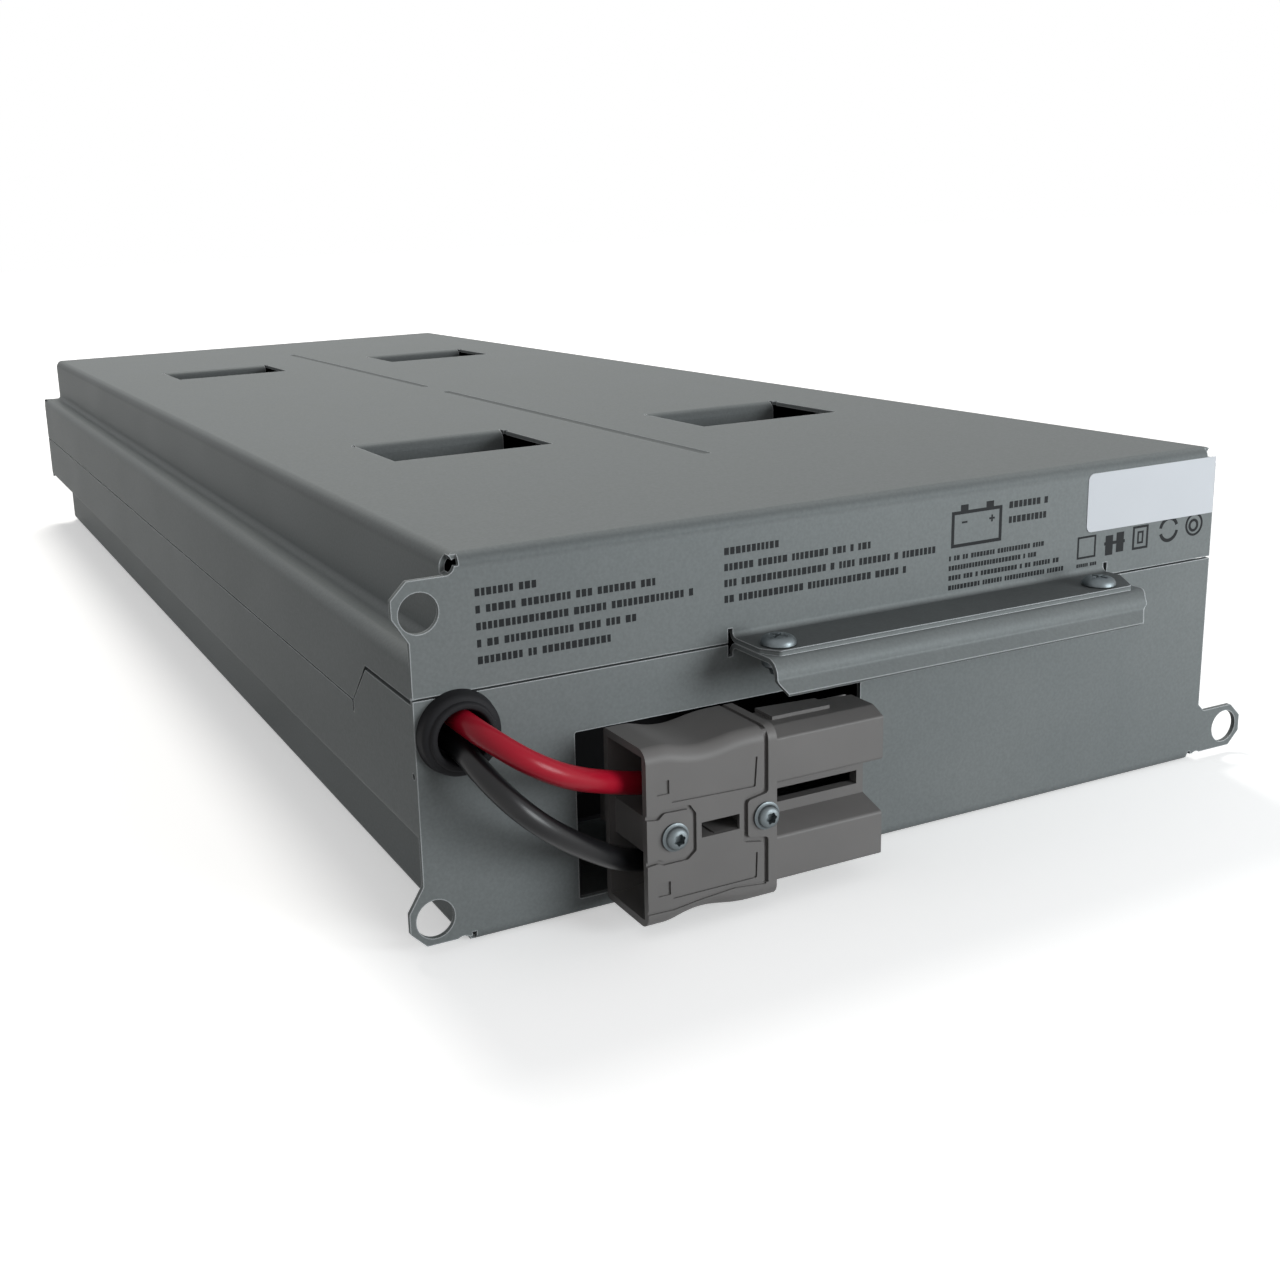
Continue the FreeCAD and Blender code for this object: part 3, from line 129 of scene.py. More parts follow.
def zinc_film(tree, even, clouds):
    """The zinc's own tone: two greys in clouds, under a fine speckle."""
    speck = add(tree, "ShaderNodeTexNoise", {"Vector": even}, {"Scale": SPECKS_PER_METRE, "Detail": 2.0})
    blend = add(tree, "ShaderNodeMix", {"Factor": clouds}, data_type="RGBA")
    blend.inputs["A"].default_value = srgb("#6F7475")
    blend.inputs["B"].default_value = srgb("#7C8080")
    dust = add(tree, "ShaderNodeMapRange", {"Value": speck.outputs["Fac"]},
               {**NOISE_SPAN, "To Min": 0.94, "To Max": 1.06})
    tone = add(tree, "ShaderNodeMix", {"A": blend.outputs["Result"], "B": dust.outputs["Result"]},
               {"Factor": 1.0}, data_type="RGBA", blend_type="MULTIPLY")
    return tone.outputs["Result"]


def bend_painted_shade(tree, place):
    """Painted shade: a darker band on the last 3 mm under the top face, where the sheet is bent down."""
    bent = add(tree, "ShaderNodeMapRange", {"Value": place["Z"]},
               {"From Min": TOP - 3.4 * MM, "From Max": TOP - 2.4 * MM, "To Min": 0.0, "To Max": 0.2})
    flat = add(tree, "ShaderNodeMapRange", {"Value": place["Z"]},
               {"From Min": TOP - 1.0 * MM, "From Max": TOP - 0.4 * MM, "To Min": 1.0, "To Max": 0.0})
    return add(tree, "ShaderNodeMath", {0: bent.outputs["Result"], 1: flat.outputs["Result"]},
               operation="MULTIPLY").outputs[0]


def hand_grime_and_painted_shade(tree, place, clouds):
    """The strip along the top of the handle, darkened in patches: partly hand grime, partly painted shade
    where the flange above shades it.
    """
    out = add(tree, "ShaderNodeMapRange", {"Value": place["Y"]},
              {"From Min": PANEL - 1.2 * MM, "From Max": PANEL - 0.2 * MM, "To Min": 0.42, "To Max": 0.0})
    high = add(tree, "ShaderNodeMapRange", {"Value": place["Z"]},
               {"From Min": STRIP - 0.6 * MM, "From Max": STRIP - 0.2 * MM, "To Min": 0.0, "To Max": 1.0})
    on_strip = add(tree, "ShaderNodeMath", {0: out.outputs["Result"], 1: high.outputs["Result"]},
               operation="MULTIPLY")
    patchy = add(tree, "ShaderNodeMapRange", {"Value": clouds}, {**NOISE_SPAN, "To Min": 0.75, "To Max": 1.2})
    return add(tree, "ShaderNodeMath", {0: on_strip.outputs[0], 1: patchy.outputs["Result"]},
               operation="MULTIPLY").outputs[0]


def edge_painted_highlight(tree):
    """Painted highlights on the edges: where a normal rounded over half a millimetre leaves the true one."""
    rounded = add(tree, "ShaderNodeBevel", None, {"Radius": 0.45 * MM}, samples=6)
    true = add(tree, "ShaderNodeNewGeometry")
    alike = add(tree, "ShaderNodeVectorMath", {0: rounded.outputs["Normal"], 1: true.outputs["Normal"]},
                operation="DOT_PRODUCT")
    edge = add(tree, "ShaderNodeMapRange", {"Value": alike.outputs["Value"]},
               {"From Min": 0.985, "From Max": 0.88, "To Min": 0.0, "To Max": 0.9})
    return edge.outputs["Result"]


def zinc_sheet():
    """Electro-galvanised sheet: dull grey with a fine rolled grain, a cloudy film, painted highlights on its
    edges and painted shade at the top bend and on the handle's strip, which also has hand grime.
    """
    material, tree, shader = new_material("zinc_coated_sheet")
    even = object_space(tree, (1, 1, 1))
    # rolling lines run the length of the case, 0.6 mm apart and about 40 mm long
    rolled = object_space(tree, (1 / 0.6 / MM, 1 / 40 / MM, 1 / 0.6 / MM))
    clouds = add(tree, "ShaderNodeTexNoise", {"Vector": even},
                 {"Scale": CLOUDS_PER_METRE, "Detail": 4.0, "Roughness": 0.55}).outputs["Fac"]
    grain = add(tree, "ShaderNodeTexNoise", {"Vector": rolled}, {"Scale": 1.0, "Detail": 2.0})
    place = add(tree, "ShaderNodeSeparateXYZ", {"Vector": even}).outputs
    tone = zinc_film(tree, even, clouds)
    # painted shade on the bend under the top, hand grime with painted shade on the handled strip, and painted
    # highlights on the edges each draw the tone toward their own colour
    for amount, colour in ((bend_painted_shade(tree, place), "#2F3132"), (hand_grime_and_painted_shade(tree, place, clouds), "#2B2C2E"),
                           (edge_painted_highlight(tree), "#C6CACC")):
        mixed = add(tree, "ShaderNodeMix", {"Factor": amount, "A": tone}, data_type="RGBA")
        mixed.inputs["B"].default_value = srgb(colour)
        tone = mixed.outputs["Result"]
    tree.links.new(tone, shader.inputs["Base Color"])
    # the passivated film is far duller than clean zinc, so it is only a little metallic
    shader.inputs["Metallic"].default_value = 0.1
    shader.inputs["Specular IOR Level"].default_value = 0.05
    rough = add(tree, "ShaderNodeMapRange", {"Value": clouds}, {**NOISE_SPAN, "To Min": 0.5, "To Max": 0.56})
    tree.links.new(rough.outputs["Result"], shader.inputs["Roughness"])
    bump = add(tree, "ShaderNodeBump", {"Height": grain.outputs["Fac"]},
               {"Strength": 0.08, "Distance": 0.02 * MM})
    tree.links.new(bump.outputs["Normal"], shader.inputs["Normal"])
    return material


DRIFTS_PER_METRE = 60.0        # slow changes of tone, about 17 mm across


def plain_plastic(name, colour, roughness, grit, strength, shine=0.3, spread=0.05):
    """One colour with a slow drift in tone and a fine grit: plastic, rubber, foam, board, paper or ink."""
    material, tree, shader = new_material(name)
    even = object_space(tree, (1, 1, 1))
    drift = add(tree, "ShaderNodeTexNoise", {"Vector": even}, {"Scale": DRIFTS_PER_METRE, "Detail": 3.0})
    level = add(tree, "ShaderNodeMapRange", {"Value": drift.outputs["Fac"]},
                {**NOISE_SPAN, "To Min": 1 - spread, "To Max": 1 + spread})
    tone = add(tree, "ShaderNodeMix", {"B": level.outputs["Result"]}, {"Factor": 1.0, "A": srgb(colour)},
               data_type="RGBA", blend_type="MULTIPLY")
    tree.links.new(tone.outputs["Result"], shader.inputs["Base Color"])
    texture = add(tree, "ShaderNodeTexNoise", {"Vector": even}, {"Scale": 1 / grit, "Detail": 2.0})
    bump = add(tree, "ShaderNodeBump", {"Height": texture.outputs["Fac"]},
               {"Strength": strength, "Distance": 0.05 * MM})
    tree.links.new(bump.outputs["Normal"], shader.inputs["Normal"])
    shader.inputs["Roughness"].default_value = roughness
    shader.inputs["Specular IOR Level"].default_value = shine
    return material


PLATING_CLOUDS_PER_METRE = 900.0      # about 1 mm across


def plated_metal(name, colour, roughness):
    """Plated or bare metal, with a faint cloudiness in its gloss."""
    material, tree, shader = new_material(name)
    even = object_space(tree, (1, 1, 1))
    clouds = add(tree, "ShaderNodeTexNoise", {"Vector": even},
                 {"Scale": PLATING_CLOUDS_PER_METRE, "Detail": 2.0})
    rough = add(tree, "ShaderNodeMapRange", {"Value": clouds.outputs["Fac"]},
                {**NOISE_SPAN, "To Min": roughness, "To Max": roughness * 1.5})
    tree.links.new(rough.outputs["Result"], shader.inputs["Roughness"])
    shader.inputs["Base Color"].default_value = srgb(colour)
    shader.inputs["Metallic"].default_value = 1.0
    return material


# after the name: colour, roughness, then the grit's size and bump; a fine grit is drawn coarse enough to show
STEEL = zinc_sheet()
# dull black with almost no shine
RUBBER = plain_plastic("moulded_black_rubber", "#242426", 0.6, 0.4 * MM, 0.15, shine=0.12)
# satin grey, broken up by a mould texture
GREY_NYLON = plain_plastic("grey_moulded_nylon", "#6E6C6B", 0.5, 0.25 * MM, 0.25)
# smooth insulation with soft highlights along its length
RED_PVC = plain_plastic("red_extruded_pvc", "#A8142A", 0.3, 2.0 * MM, 0.04, shine=0.22, spread=0.03)
BLACK_PVC = plain_plastic("black_extruded_pvc", "#121214", 0.33, 2.0 * MM, 0.04, shine=0.35)
# black battery cases with a fine moulded grain
BLACK_ABS = plain_plastic("black_moulded_abs", "#1B1B1D", 0.5, 0.3 * MM, 0.2)
# flat charcoal, pitted by its cells
FOAM = plain_plastic("black_closed_cell_foam", "#242425", 0.95, 0.8 * MM, 0.6)
# matt black pressed fibres
BOARD = plain_plastic("black_fibre_board", "#1D1D1F", 0.8, 0.5 * MM, 0.2)
# the waxy cream of undyed nylon
CLEAR_NYLON = plain_plastic("natural_nylon", "#C9C2AC", 0.45, 0.4 * MM, 0.1)
# an even, slightly cool white
PAPER = plain_plastic("blank_paper_label", "#CDD0D5", 0.6, 0.3 * MM, 0.05, spread=0.01)
# a thin, dull, near-black film
INK = plain_plastic("screen_printed_ink", "#1E2022", 0.55, 0.2 * MM, 0.05, shine=0.12)
# soft grey highlights on the screws and nuts
ZINC = plated_metal("bright_zinc_plate", "#6C7376", 0.4)
# pale contacts and tabs with a clear shine
SILVER = plated_metal("silver_plated_copper", "#CFCBC2", 0.25)
# warm brown straps
COPPER = plated_metal("bare_copper_strip", "#C98A63", 0.3)


def dress_nodes():
    """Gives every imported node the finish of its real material."""
    finishes = {
        "top_cover": STEEL, "base_tray": STEEL, "grommet": RUBBER, "boot_front_shell": GREY_NYLON,
        "boot_rear_shell": GREY_NYLON, "connector_housing": GREY_NYLON, "contact_positive": SILVER,
        "contact_negative": SILVER, "boot_screws": ZINC, "handle_screws": ZINC, "clinch_nuts": ZINC,
        "lead_splices": BLACK_PVC, "battery_terminals": SILVER, "link_straps": COPPER,
        "lead_receptacles": CLEAR_NYLON, "pack_lead_positive": RED_PVC, "pack_lead_negative": BLACK_PVC,
        "cross_link": BLACK_PVC, "floor_foam": FOAM, "top_foam_pads": FOAM, "rear_spacer": FOAM,
        "front_divider": BOARD, "terminal_sheet": BOARD, "blank_label": PAPER,
    }
    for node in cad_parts:
        if node.startswith("battery_block"):
            finishes[node] = BLACK_ABS
    for node, finish in finishes.items():
        dress(node, finish)


# ------------------------------------------------------------------ pigtail
def cord_piece(name, route, diameter, material):
    """A lead as one smooth spline through its route, with a round section."""
    data = bpy.data.curves.new(name, "CURVE")
    data.dimensions = "3D"
    line = data.splines.new("NURBS")
    line.points.add(len(route) - 1)
    for point, place in zip(line.points, route):
        point.co = (*place, 1.0)
    line.order_u = 3           # a smooth curve that follows its points closely
    line.use_endpoint_u = True
    line.resolution_u = 12
    data.bevel_depth = diameter / 2
    data.bevel_resolution = 6
    data.materials.append(material)
    piece = bpy.data.objects.new(name, data)
    bpy.context.scene.collection.objects.link(piece)
    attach(piece, "root")
    return piece


LEAD = 5.0 * MM                # over the insulation
# points in millimetres: x, the distance behind the case's front face, and the height
RED_ROUTE = [(-104.2, 17.0, 50.0), (-104.2, 9.6, 50.0), (-104.5, 2.0, 50.1), (-104.3, -5.2, 49.9),
             (-101.9, -11.0, 48.1), (-97.2, -14.9, 44.6), (-91.0, -15.6, 40.8), (-84.2, -13.8, 37.4),
             (-77.2, -11.3, 34.6), (-70.4, -9.4, 32.3), (-63.6, -9.0, 31.1), (-57.6, -9.0, 31.1)]
BLACK_ROUTE = [(-105.2, 17.0, 44.2), (-105.2, 9.6, 44.2), (-105.1, 2.0, 44.5), (-105.2, -5.8, 44.0),
               (-103.4, -11.6, 40.4), (-99.8, -15.4, 35.8), (-94.7, -16.4, 30.9), (-88.6, -15.0, 26.0),
               (-82.4, -12.9, 21.6), (-75.9, -10.8, 17.4), (-69.6, -9.3, 14.6), (-63.4, -9.0, 13.7),
               (-57.6, -9.0, 13.7)]


def make_leads(boot_screws):
    """Both leads from their splices, out through the grommet, to the contacts in the boot."""
    upper = [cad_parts[node] for node in ("boot_front_shell", "connector_housing", "contact_positive")]
    upper.append(boot_screws)
    lower = [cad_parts[node] for node in ("boot_rear_shell", "contact_negative")]
    for name, node, route, length, material, going in (
            ("red_pigtail", "red_lead", RED_ROUTE, 0.0787, RED_PVC, upper),
            ("black_pigtail", "black_lead", BLACK_ROUTE, 0.0865, BLACK_PVC, lower)):
        places = [Vector((x * MM, PANEL + y * MM, z * MM)) for x, y, z in route]
        lead = cord_piece(name, places, LEAD, material)
        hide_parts(node)


# ------------------------------------------------------------------ screws
def lathe(shape, profile, steps):
    """Turns a profile of (radius, height) points about Z into a closed solid."""
    rings = []
    for radius, height in profile:
        if radius == 0:
            rings.append([shape.verts.new((0, 0, height))])
            continue
        turn = [2 * math.pi * i / steps for i in range(steps)]
        rings.append([shape.verts.new((radius * math.cos(a), radius * math.sin(a), height)) for a in turn])
    for low, high in zip(rings, rings[1:]):
        for i in range(steps):
            j = (i + 1) % steps
            corners = [low[i % len(low)], low[j % len(low)], high[j % len(high)], high[i % len(high)]]
            shape.faces.new(list(dict.fromkeys(corners)))
    bmesh.ops.recalc_face_normals(shape, faces=shape.faces)


def prism(shape, outline, low, high, taper):
    """A closed prism between two heights, with its lower end scaled by a taper."""
    bottom = [shape.verts.new((x * taper, y * taper, low)) for x, y in outline]
    top = [shape.verts.new((x, y, high)) for x, y in outline]
    count = len(outline)
    for i in range(count):
        j = (i + 1) % count
        shape.faces.new((bottom[i], bottom[j], top[j], top[i]))
    shape.faces.new(bottom[::-1])
    shape.faces.new(top)
    bmesh.ops.recalc_face_normals(shape, faces=shape.faces)


def loose_mesh(name, build):
    """A mesh object that isn't part of the scene, for use as a tool."""
    shape = bmesh.new()
    build(shape)
    data = bpy.data.meshes.new(name)
    shape.to_mesh(data)
    shape.free()
    made = bpy.data.objects.new(name, data)
    bpy.context.scene.collection.objects.link(made)
    return made


def baked(source, name):
    """The evaluated mesh of an object as plain data, with its modifiers' result in it."""
    bpy.context.view_layer.update()
    data = bpy.data.meshes.new_from_object(source.evaluated_get(bpy.context.evaluated_depsgraph_get()))
    data.name = name
    return data


def geometry_tree(name, sizes):
    """An empty geometry tree with named inputs, and its input and output nodes."""
    tree = bpy.data.node_groups.new(name, "GeometryNodeTree")
    tree.interface.new_socket("Geometry", in_out="INPUT", socket_type="NodeSocketGeometry")
    tree.interface.new_socket("Geometry", in_out="OUTPUT", socket_type="NodeSocketGeometry")
    for label, kind in sizes.items():
        tree.interface.new_socket(label, in_out="INPUT", socket_type="NodeSocket" + kind)
    return tree, add(tree, "NodeGroupInput").outputs, add(tree, "NodeGroupOutput")


def grown(name, tree, places, marks, settings):
    """The plain mesh that a tree makes from points, with its own marks on each point."""
    data = bpy.data.meshes.new(name)
    data.from_pydata(places, [], [])
    for label, (kind, values) in marks.items():
        data.attributes.new(label, kind, "POINT").data.foreach_set("value", values)
    seed = bpy.data.objects.new(name + "_seed", data)
    bpy.context.scene.collection.objects.link(seed)
    modifier = seed.modifiers.new("grow", "NODES")
    modifier.node_group = tree
    for item in tree.interface.items_tree:
        if item.in_out == "INPUT" and item.name in settings:
            modifier[item.identifier] = settings[item.name]
    result = baked(seed, name)
    bpy.data.objects.remove(seed)
    return result


def screw_tree(finish):
    """Sets a screw on each point, spun by its own angle and tilted with the rest."""
    tree, given, output = geometry_tree("screws_on_seats", {
        "Screw": "Object", "Tilt": "Rotation", "Size": "Float"})
    spin = add(tree, "GeometryNodeInputNamedAttribute", None, {"Name": "spin"}, data_type="FLOAT")
    about = add(tree, "ShaderNodeCombineXYZ", {"Z": spin.outputs["Attribute"]})
    turn = add(tree, "FunctionNodeRotateRotation", {"Rotation": about.outputs[0], "Rotate By": given["Tilt"]},
               rotation_space="GLOBAL")
    seats = add(tree, "GeometryNodeMeshToPoints", {"Mesh": given["Geometry"]})
    screw = add(tree, "GeometryNodeObjectInfo", {"Object": given["Screw"]}, {"As Instance": True})
    placed = add(tree, "GeometryNodeInstanceOnPoints",
                 {"Points": seats.outputs[0], "Instance": screw.outputs["Geometry"],
                  "Rotation": turn.outputs[0], "Scale": given["Size"]})
    solid = add(tree, "GeometryNodeRealizeInstances", {"Geometry": placed.outputs[0]})
    coated = add(tree, "GeometryNodeSetMaterial", {"Geometry": solid.outputs[0]}, {"Material": finish})
    tree.links.new(coated.outputs[0], output.inputs[0])
    return tree


def screw_profile(head_radius, head_height, shank_radius, shank_length, washer):
    """Half the section of a screw: a ridged shank, a washer rim if it has one, and a flat-topped dome."""
    pitch = 0.6 * MM
    thread_depth = 0.25 * MM
    point = 0.4 * MM
    dome_power = 0.42          # the further below one, the flatter the head and the rounder its rim
    profile = [(0, -shank_length), (shank_radius - 0.3 * MM, -shank_length)]
    for i in range(int(shank_length / pitch) - 1):
        height = -shank_length + point + i * pitch
        profile.append((shank_radius - thread_depth, height))
        profile.append((shank_radius, height + pitch / 2))
    profile.append((shank_radius, 0))
    rim = head_radius
    foot = 0.0
    if washer:
        rim = head_radius * 0.82
        foot = 0.55 * MM
        profile += [(head_radius - 0.1 * MM, 0), (head_radius, 0.15 * MM), (head_radius, 0.45 * MM),
                    (head_radius - 0.3 * MM, foot)]
    shoulder = foot + 0.25 * MM
    steps = 8
    for i in range(steps):
        angle = math.pi / 2 * i / steps
        profile.append((rim * math.cos(angle) ** dome_power,
                        shoulder + (head_height - shoulder) * math.sin(angle)))
    profile.append((0, head_height))
    return profile


def screw_object(name, profile, recess):
    """A screw on Z with its seat at zero, turned from its profile and cut by its driver recess."""
    head = loose_mesh(name + "_blank", lambda shape: lathe(shape, profile, 40))
    cutter = loose_mesh(name + "_recess", recess)
    cut = head.modifiers.new("recess", "BOOLEAN")
    cut.operation = "DIFFERENCE"
    cut.object = cutter
    cut.solver = "EXACT"
    screw = bpy.data.objects.new(name, baked(head, name))
    bpy.context.scene.collection.objects.link(screw)
    for tool in (head, cutter):
        bpy.data.objects.remove(tool)
    return screw


def cross_recess(reach, width, low, high):
    """A cross with tapered arms, for a cross-head driver."""
    half = width / 2
    corners = [(half, half), (half, reach), (-half, reach), (-half, half), (-reach, half), (-reach, -half),
               (-half, -half), (-half, -reach), (half, -reach), (half, -half), (reach, -half), (reach, half)]
    return lambda shape: prism(shape, corners[::-1], low, high, taper=0.45)


def star_recess(radius, low, high):
    """A six-lobed socket for a star driver."""
    steps = 48
    lobes = 6
    lobe_height = 0.13         # as a share of the radius
    corners = []
    for i in range(steps):
        angle = 2 * math.pi * i / steps
        reach = radius * (1 + lobe_height * math.cos(lobes * angle))
        corners.append((reach * math.cos(angle), reach * math.sin(angle)))
    return lambda shape: prism(shape, corners, low, high, taper=0.9)


def set_screws(name, node, tree, screw, places, tilt, spin):
    """Copies of a screw on their seats, each with its own spin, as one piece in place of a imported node."""
    data = grown(name, tree, places, {"spin": ("FLOAT", spin)},
                 {"Screw": screw, "Tilt": tilt, "Size": 1.0})
    bpy.data.objects.remove(screw)
    for face in data.polygons:
        face.use_smooth = True
    data.set_sharp_from_angle(angle=math.radians(35))
    piece = bpy.data.objects.new(name, data)
    bpy.context.scene.collection.objects.link(piece)
    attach(piece, "root")
    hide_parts(node)
    return piece


def make_screws():
    """The cross-head screws of the handle and the six-lobe screws of the boot, which are returned."""
    tree = screw_tree(ZINC)
    low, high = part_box("handle_screws")
    profile = screw_profile(head_radius=3.9 * MM, head_height=2.1 * MM, shank_radius=2.0 * MM,
                            shank_length=6.5 * MM, washer=False)
    recess = cross_recess(reach=2.8 * MM, width=1.2 * MM, low=0.5 * MM, high=3.0 * MM)
    pan = screw_object("pan_screw", profile, recess)
    middle_y = (low.y + high.y) / 2
    places = [(x, middle_y, STRIP) for x in (low.x + PAN_RADIUS, high.x - PAN_RADIUS)]
    set_screws("handle_screw_pair", "handle_screws", tree, pan, places, (0, 0, 0), (0.5, 0.15))

    low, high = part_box("boot_screws")
    seat = low.y + SOCKET_HEIGHT
    profile = screw_profile(head_radius=SOCKET_RADIUS, head_height=SOCKET_HEIGHT, shank_radius=1.5 * MM,
                            shank_length=20.0 * MM, washer=True)
    recess = star_recess(radius=1.25 * MM, low=0.7 * MM, high=3.0 * MM)
    socket = screw_object("socket_screw", profile, recess)
    middle_z = (low.z + high.z) / 2
    places = [(x, seat, middle_z) for x in (low.x + SOCKET_RADIUS, high.x - SOCKET_RADIUS)]
    return set_screws("boot_screw_pair", "boot_screws", tree, socket, places, (math.pi / 2, 0, 0), (0.3, 0.1))


# ------------------------------------------------------------------ print
INK_FILM = 0.05 * MM
INK_SINK = 0.01 * MM            # the film's back lies this far inside the panel


def plate(shape, points):
    """A thin raised patch of ink on the panel, from (x, z) points in millimetres."""
    front = [shape.verts.new((x * MM, PANEL - INK_FILM, z * MM)) for x, z in points]
    back = [shape.verts.new((x * MM, PANEL + INK_SINK, z * MM)) for x, z in points]
    count = len(points)
    shape.faces.new(front)
    shape.faces.new(back[::-1])
    for i in range(count):
        j = (i + 1) % count
        shape.faces.new((front[j], front[i], back[i], back[j]))


def bar(shape, x, z, width, height):
    """A filled rectangle from its lower left corner."""
    plate(shape, [(x, z), (x + width, z), (x + width, z + height), (x, z + height)])


def ring(shape, x, z, radius, stroke, start=0.0, sweep=360.0, steps=32):
    """A stroked arc made of short patches."""
    def on(reach, angle):
        return x + reach * math.cos(angle), z + reach * math.sin(angle)

    inner = radius - stroke
    for i in range(steps):
        a = math.radians(start + sweep * i / steps)
        b = math.radians(start + sweep * (i + 1) / steps)
        plate(shape, [on(inner, a), on(radius, a), on(radius, b), on(inner, b)])


def frame_outline(shape, x, z, width, height, stroke):
    """A stroked rectangle."""
    bar(shape, x, z, width, stroke)
    bar(shape, x, z + height - stroke, width, stroke)
    bar(shape, x, z + stroke, stroke, height - 2 * stroke)
    bar(shape, x + width - stroke, z + stroke, stroke, height - 2 * stroke)


# each block of lines in millimetres: left end, foot of the first line, line pitch, block height and lengths
WORD_BLOCKS = ((-99.5, 74.7, 3.55, 1.6, (15.5, 42.0, 52.0, 37.0, 31.5)),
               (-41.0, 75.3, 3.55, 1.6, (14.0, 39.0, 58.0, 50.0)),
               (20.5, 65.6, 2.35, 1.15, (29.0, 27.0, 34.0, 36.0, 22.0)),
               (38.2, 76.1, 3.6, 1.6, (12.5, 12.5)),
               (60.2, 58.5, 1.8, 0.85, (6.6, 6.6)))


def word_tree(finish):
    """Lays small blocks from each point as far as its own reach, with a wider gap after chance blocks."""
    tree, given, output = geometry_tree("rows_of_blocks", {
        "Most Blocks": "Int", "Narrowest": "Float", "Widest": "Float", "Gap": "Float", "Word Gap": "Float",
        "Word Ends": "Float", "Film": "Float", "Seed": "Int"})
    reach, height = [add(tree, "GeometryNodeInputNamedAttribute", None, {"Name": name},
                         data_type="FLOAT").outputs["Attribute"] for name in ("reach", "height")]
    row = add(tree, "GeometryNodeInputNamedAttribute", None, {"Name": "row"},
              data_type="INT").outputs["Attribute"]
    rows = add(tree, "GeometryNodeMeshToPoints", {"Mesh": given["Geometry"]})
    blocks = add(tree, "GeometryNodeDuplicateElements",
                 {"Geometry": rows.outputs[0], "Amount": given["Most Blocks"]}, domain="POINT")
    chance = add(tree, "FunctionNodeRandomValue", {"Min": given["Narrowest"], "Max": given["Widest"],
                                                   "Seed": given["Seed"]}, data_type="FLOAT")
    long = add(tree, "ShaderNodeMath", {0: chance.outputs["Value"], 1: height}, operation="MULTIPLY")
    kept = add(tree, "GeometryNodeStoreNamedAttribute",
               {"Geometry": blocks.outputs[0], "Value": long.outputs[0]}, {"Name": "long"},
               data_type="FLOAT", domain="POINT")
    length = add(tree, "GeometryNodeInputNamedAttribute", None, {"Name": "long"},
                 data_type="FLOAT").outputs["Attribute"]
    ends = add(tree, "FunctionNodeRandomValue", {"Probability": given["Word Ends"], "Seed": given["Seed"]},
               data_type="BOOLEAN")
    between = add(tree, "GeometryNodeSwitch", {"Switch": ends.outputs[3], "False": given["Gap"],
                                               "True": given["Word Gap"]}, input_type="FLOAT")
    space = add(tree, "ShaderNodeMath", {0: between.outputs[0], 1: height}, operation="MULTIPLY")
    step = add(tree, "ShaderNodeMath", {0: length, 1: space.outputs[0]}, operation="ADD")
    run = add(tree, "GeometryNodeAccumulateField", {"Value": step.outputs[0], "Group ID": row},
              data_type="FLOAT", domain="POINT")
    start = add(tree, "GeometryNodeStoreNamedAttribute",
                {"Geometry": kept.outputs[0], "Value": run.outputs["Trailing"]}, {"Name": "start"},
                data_type="FLOAT", domain="POINT")
    begin = add(tree, "GeometryNodeInputNamedAttribute", None, {"Name": "start"},
                data_type="FLOAT").outputs["Attribute"]
    end = add(tree, "ShaderNodeMath", {0: begin, 1: length}, operation="ADD")
    over = add(tree, "FunctionNodeCompare", {"A": end.outputs[0], "B": reach}, data_type="FLOAT",
               operation="GREATER_THAN")
    left = add(tree, "GeometryNodeDeleteGeometry",
               {"Geometry": start.outputs[0], "Selection": over.outputs[0]}, domain="POINT")
    half = add(tree, "ShaderNodeMath", {0: length}, {1: 0.5}, operation="MULTIPLY")
    middle = add(tree, "ShaderNodeMath", {0: begin, 1: half.outputs[0]}, operation="ADD")
    shift = add(tree, "ShaderNodeCombineXYZ", {"X": middle.outputs[0]})
    moved = add(tree, "GeometryNodeSetPosition", {"Geometry": left.outputs[0], "Offset": shift.outputs[0]})
    size = add(tree, "ShaderNodeCombineXYZ", {"X": length, "Y": given["Film"], "Z": height})
    unit = add(tree, "GeometryNodeMeshCube")
    placed = add(tree, "GeometryNodeInstanceOnPoints",
                 {"Points": moved.outputs[0], "Instance": unit.outputs[0], "Scale": size.outputs[0]})
    solid = add(tree, "GeometryNodeRealizeInstances", {"Geometry": placed.outputs[0]})
    coated = add(tree, "GeometryNodeSetMaterial", {"Geometry": solid.outputs[0]}, {"Material": finish})
    tree.links.new(coated.outputs[0], output.inputs[0])
    return tree


def front_shapes(shape):
    """A battery outline and a few plain signs, placed in millimetres on the panel."""
    frame_outline(shape, 21.0, 68.6, 15.0, 8.6, 0.8)
    for x in (23.6, 31.2):
        bar(shape, x, 77.2, 2.2, 1.4)
    bar(shape, 24.0, 74.2, 1.6, 0.45)
    bar(shape, 32.2, 74.2, 1.6, 0.45)
    bar(shape, 32.78, 73.6, 0.45, 0.6)
    bar(shape, 32.78, 74.65, 0.45, 0.6)
    frame_outline(shape, 60.2, 60.6, 6.0, 5.6, 0.5)
    bar(shape, 69.4, 60.4, 2.4, 5.0)
    bar(shape, 73.0, 60.8, 2.4, 5.0)
    for x, width in ((69.0, 0.4), (71.8, 1.2), (75.4, 0.4)):
        bar(shape, x, 63.0, width, 0.8)
    frame_outline(shape, 78.4, 60.6, 5.2, 6.0, 0.6)
    frame_outline(shape, 80.0, 62.0, 2.0, 3.2, 0.5)
    ring(shape, 90.6, 64.4, 3.3, 0.9, 20, 150, 14)
    ring(shape, 90.6, 64.4, 3.3, 0.9, 200, 150, 14)
    ring(shape, 99.4, 64.6, 3.0, 0.6)
    ring(shape, 99.2, 64.4, 1.7, 0.7)


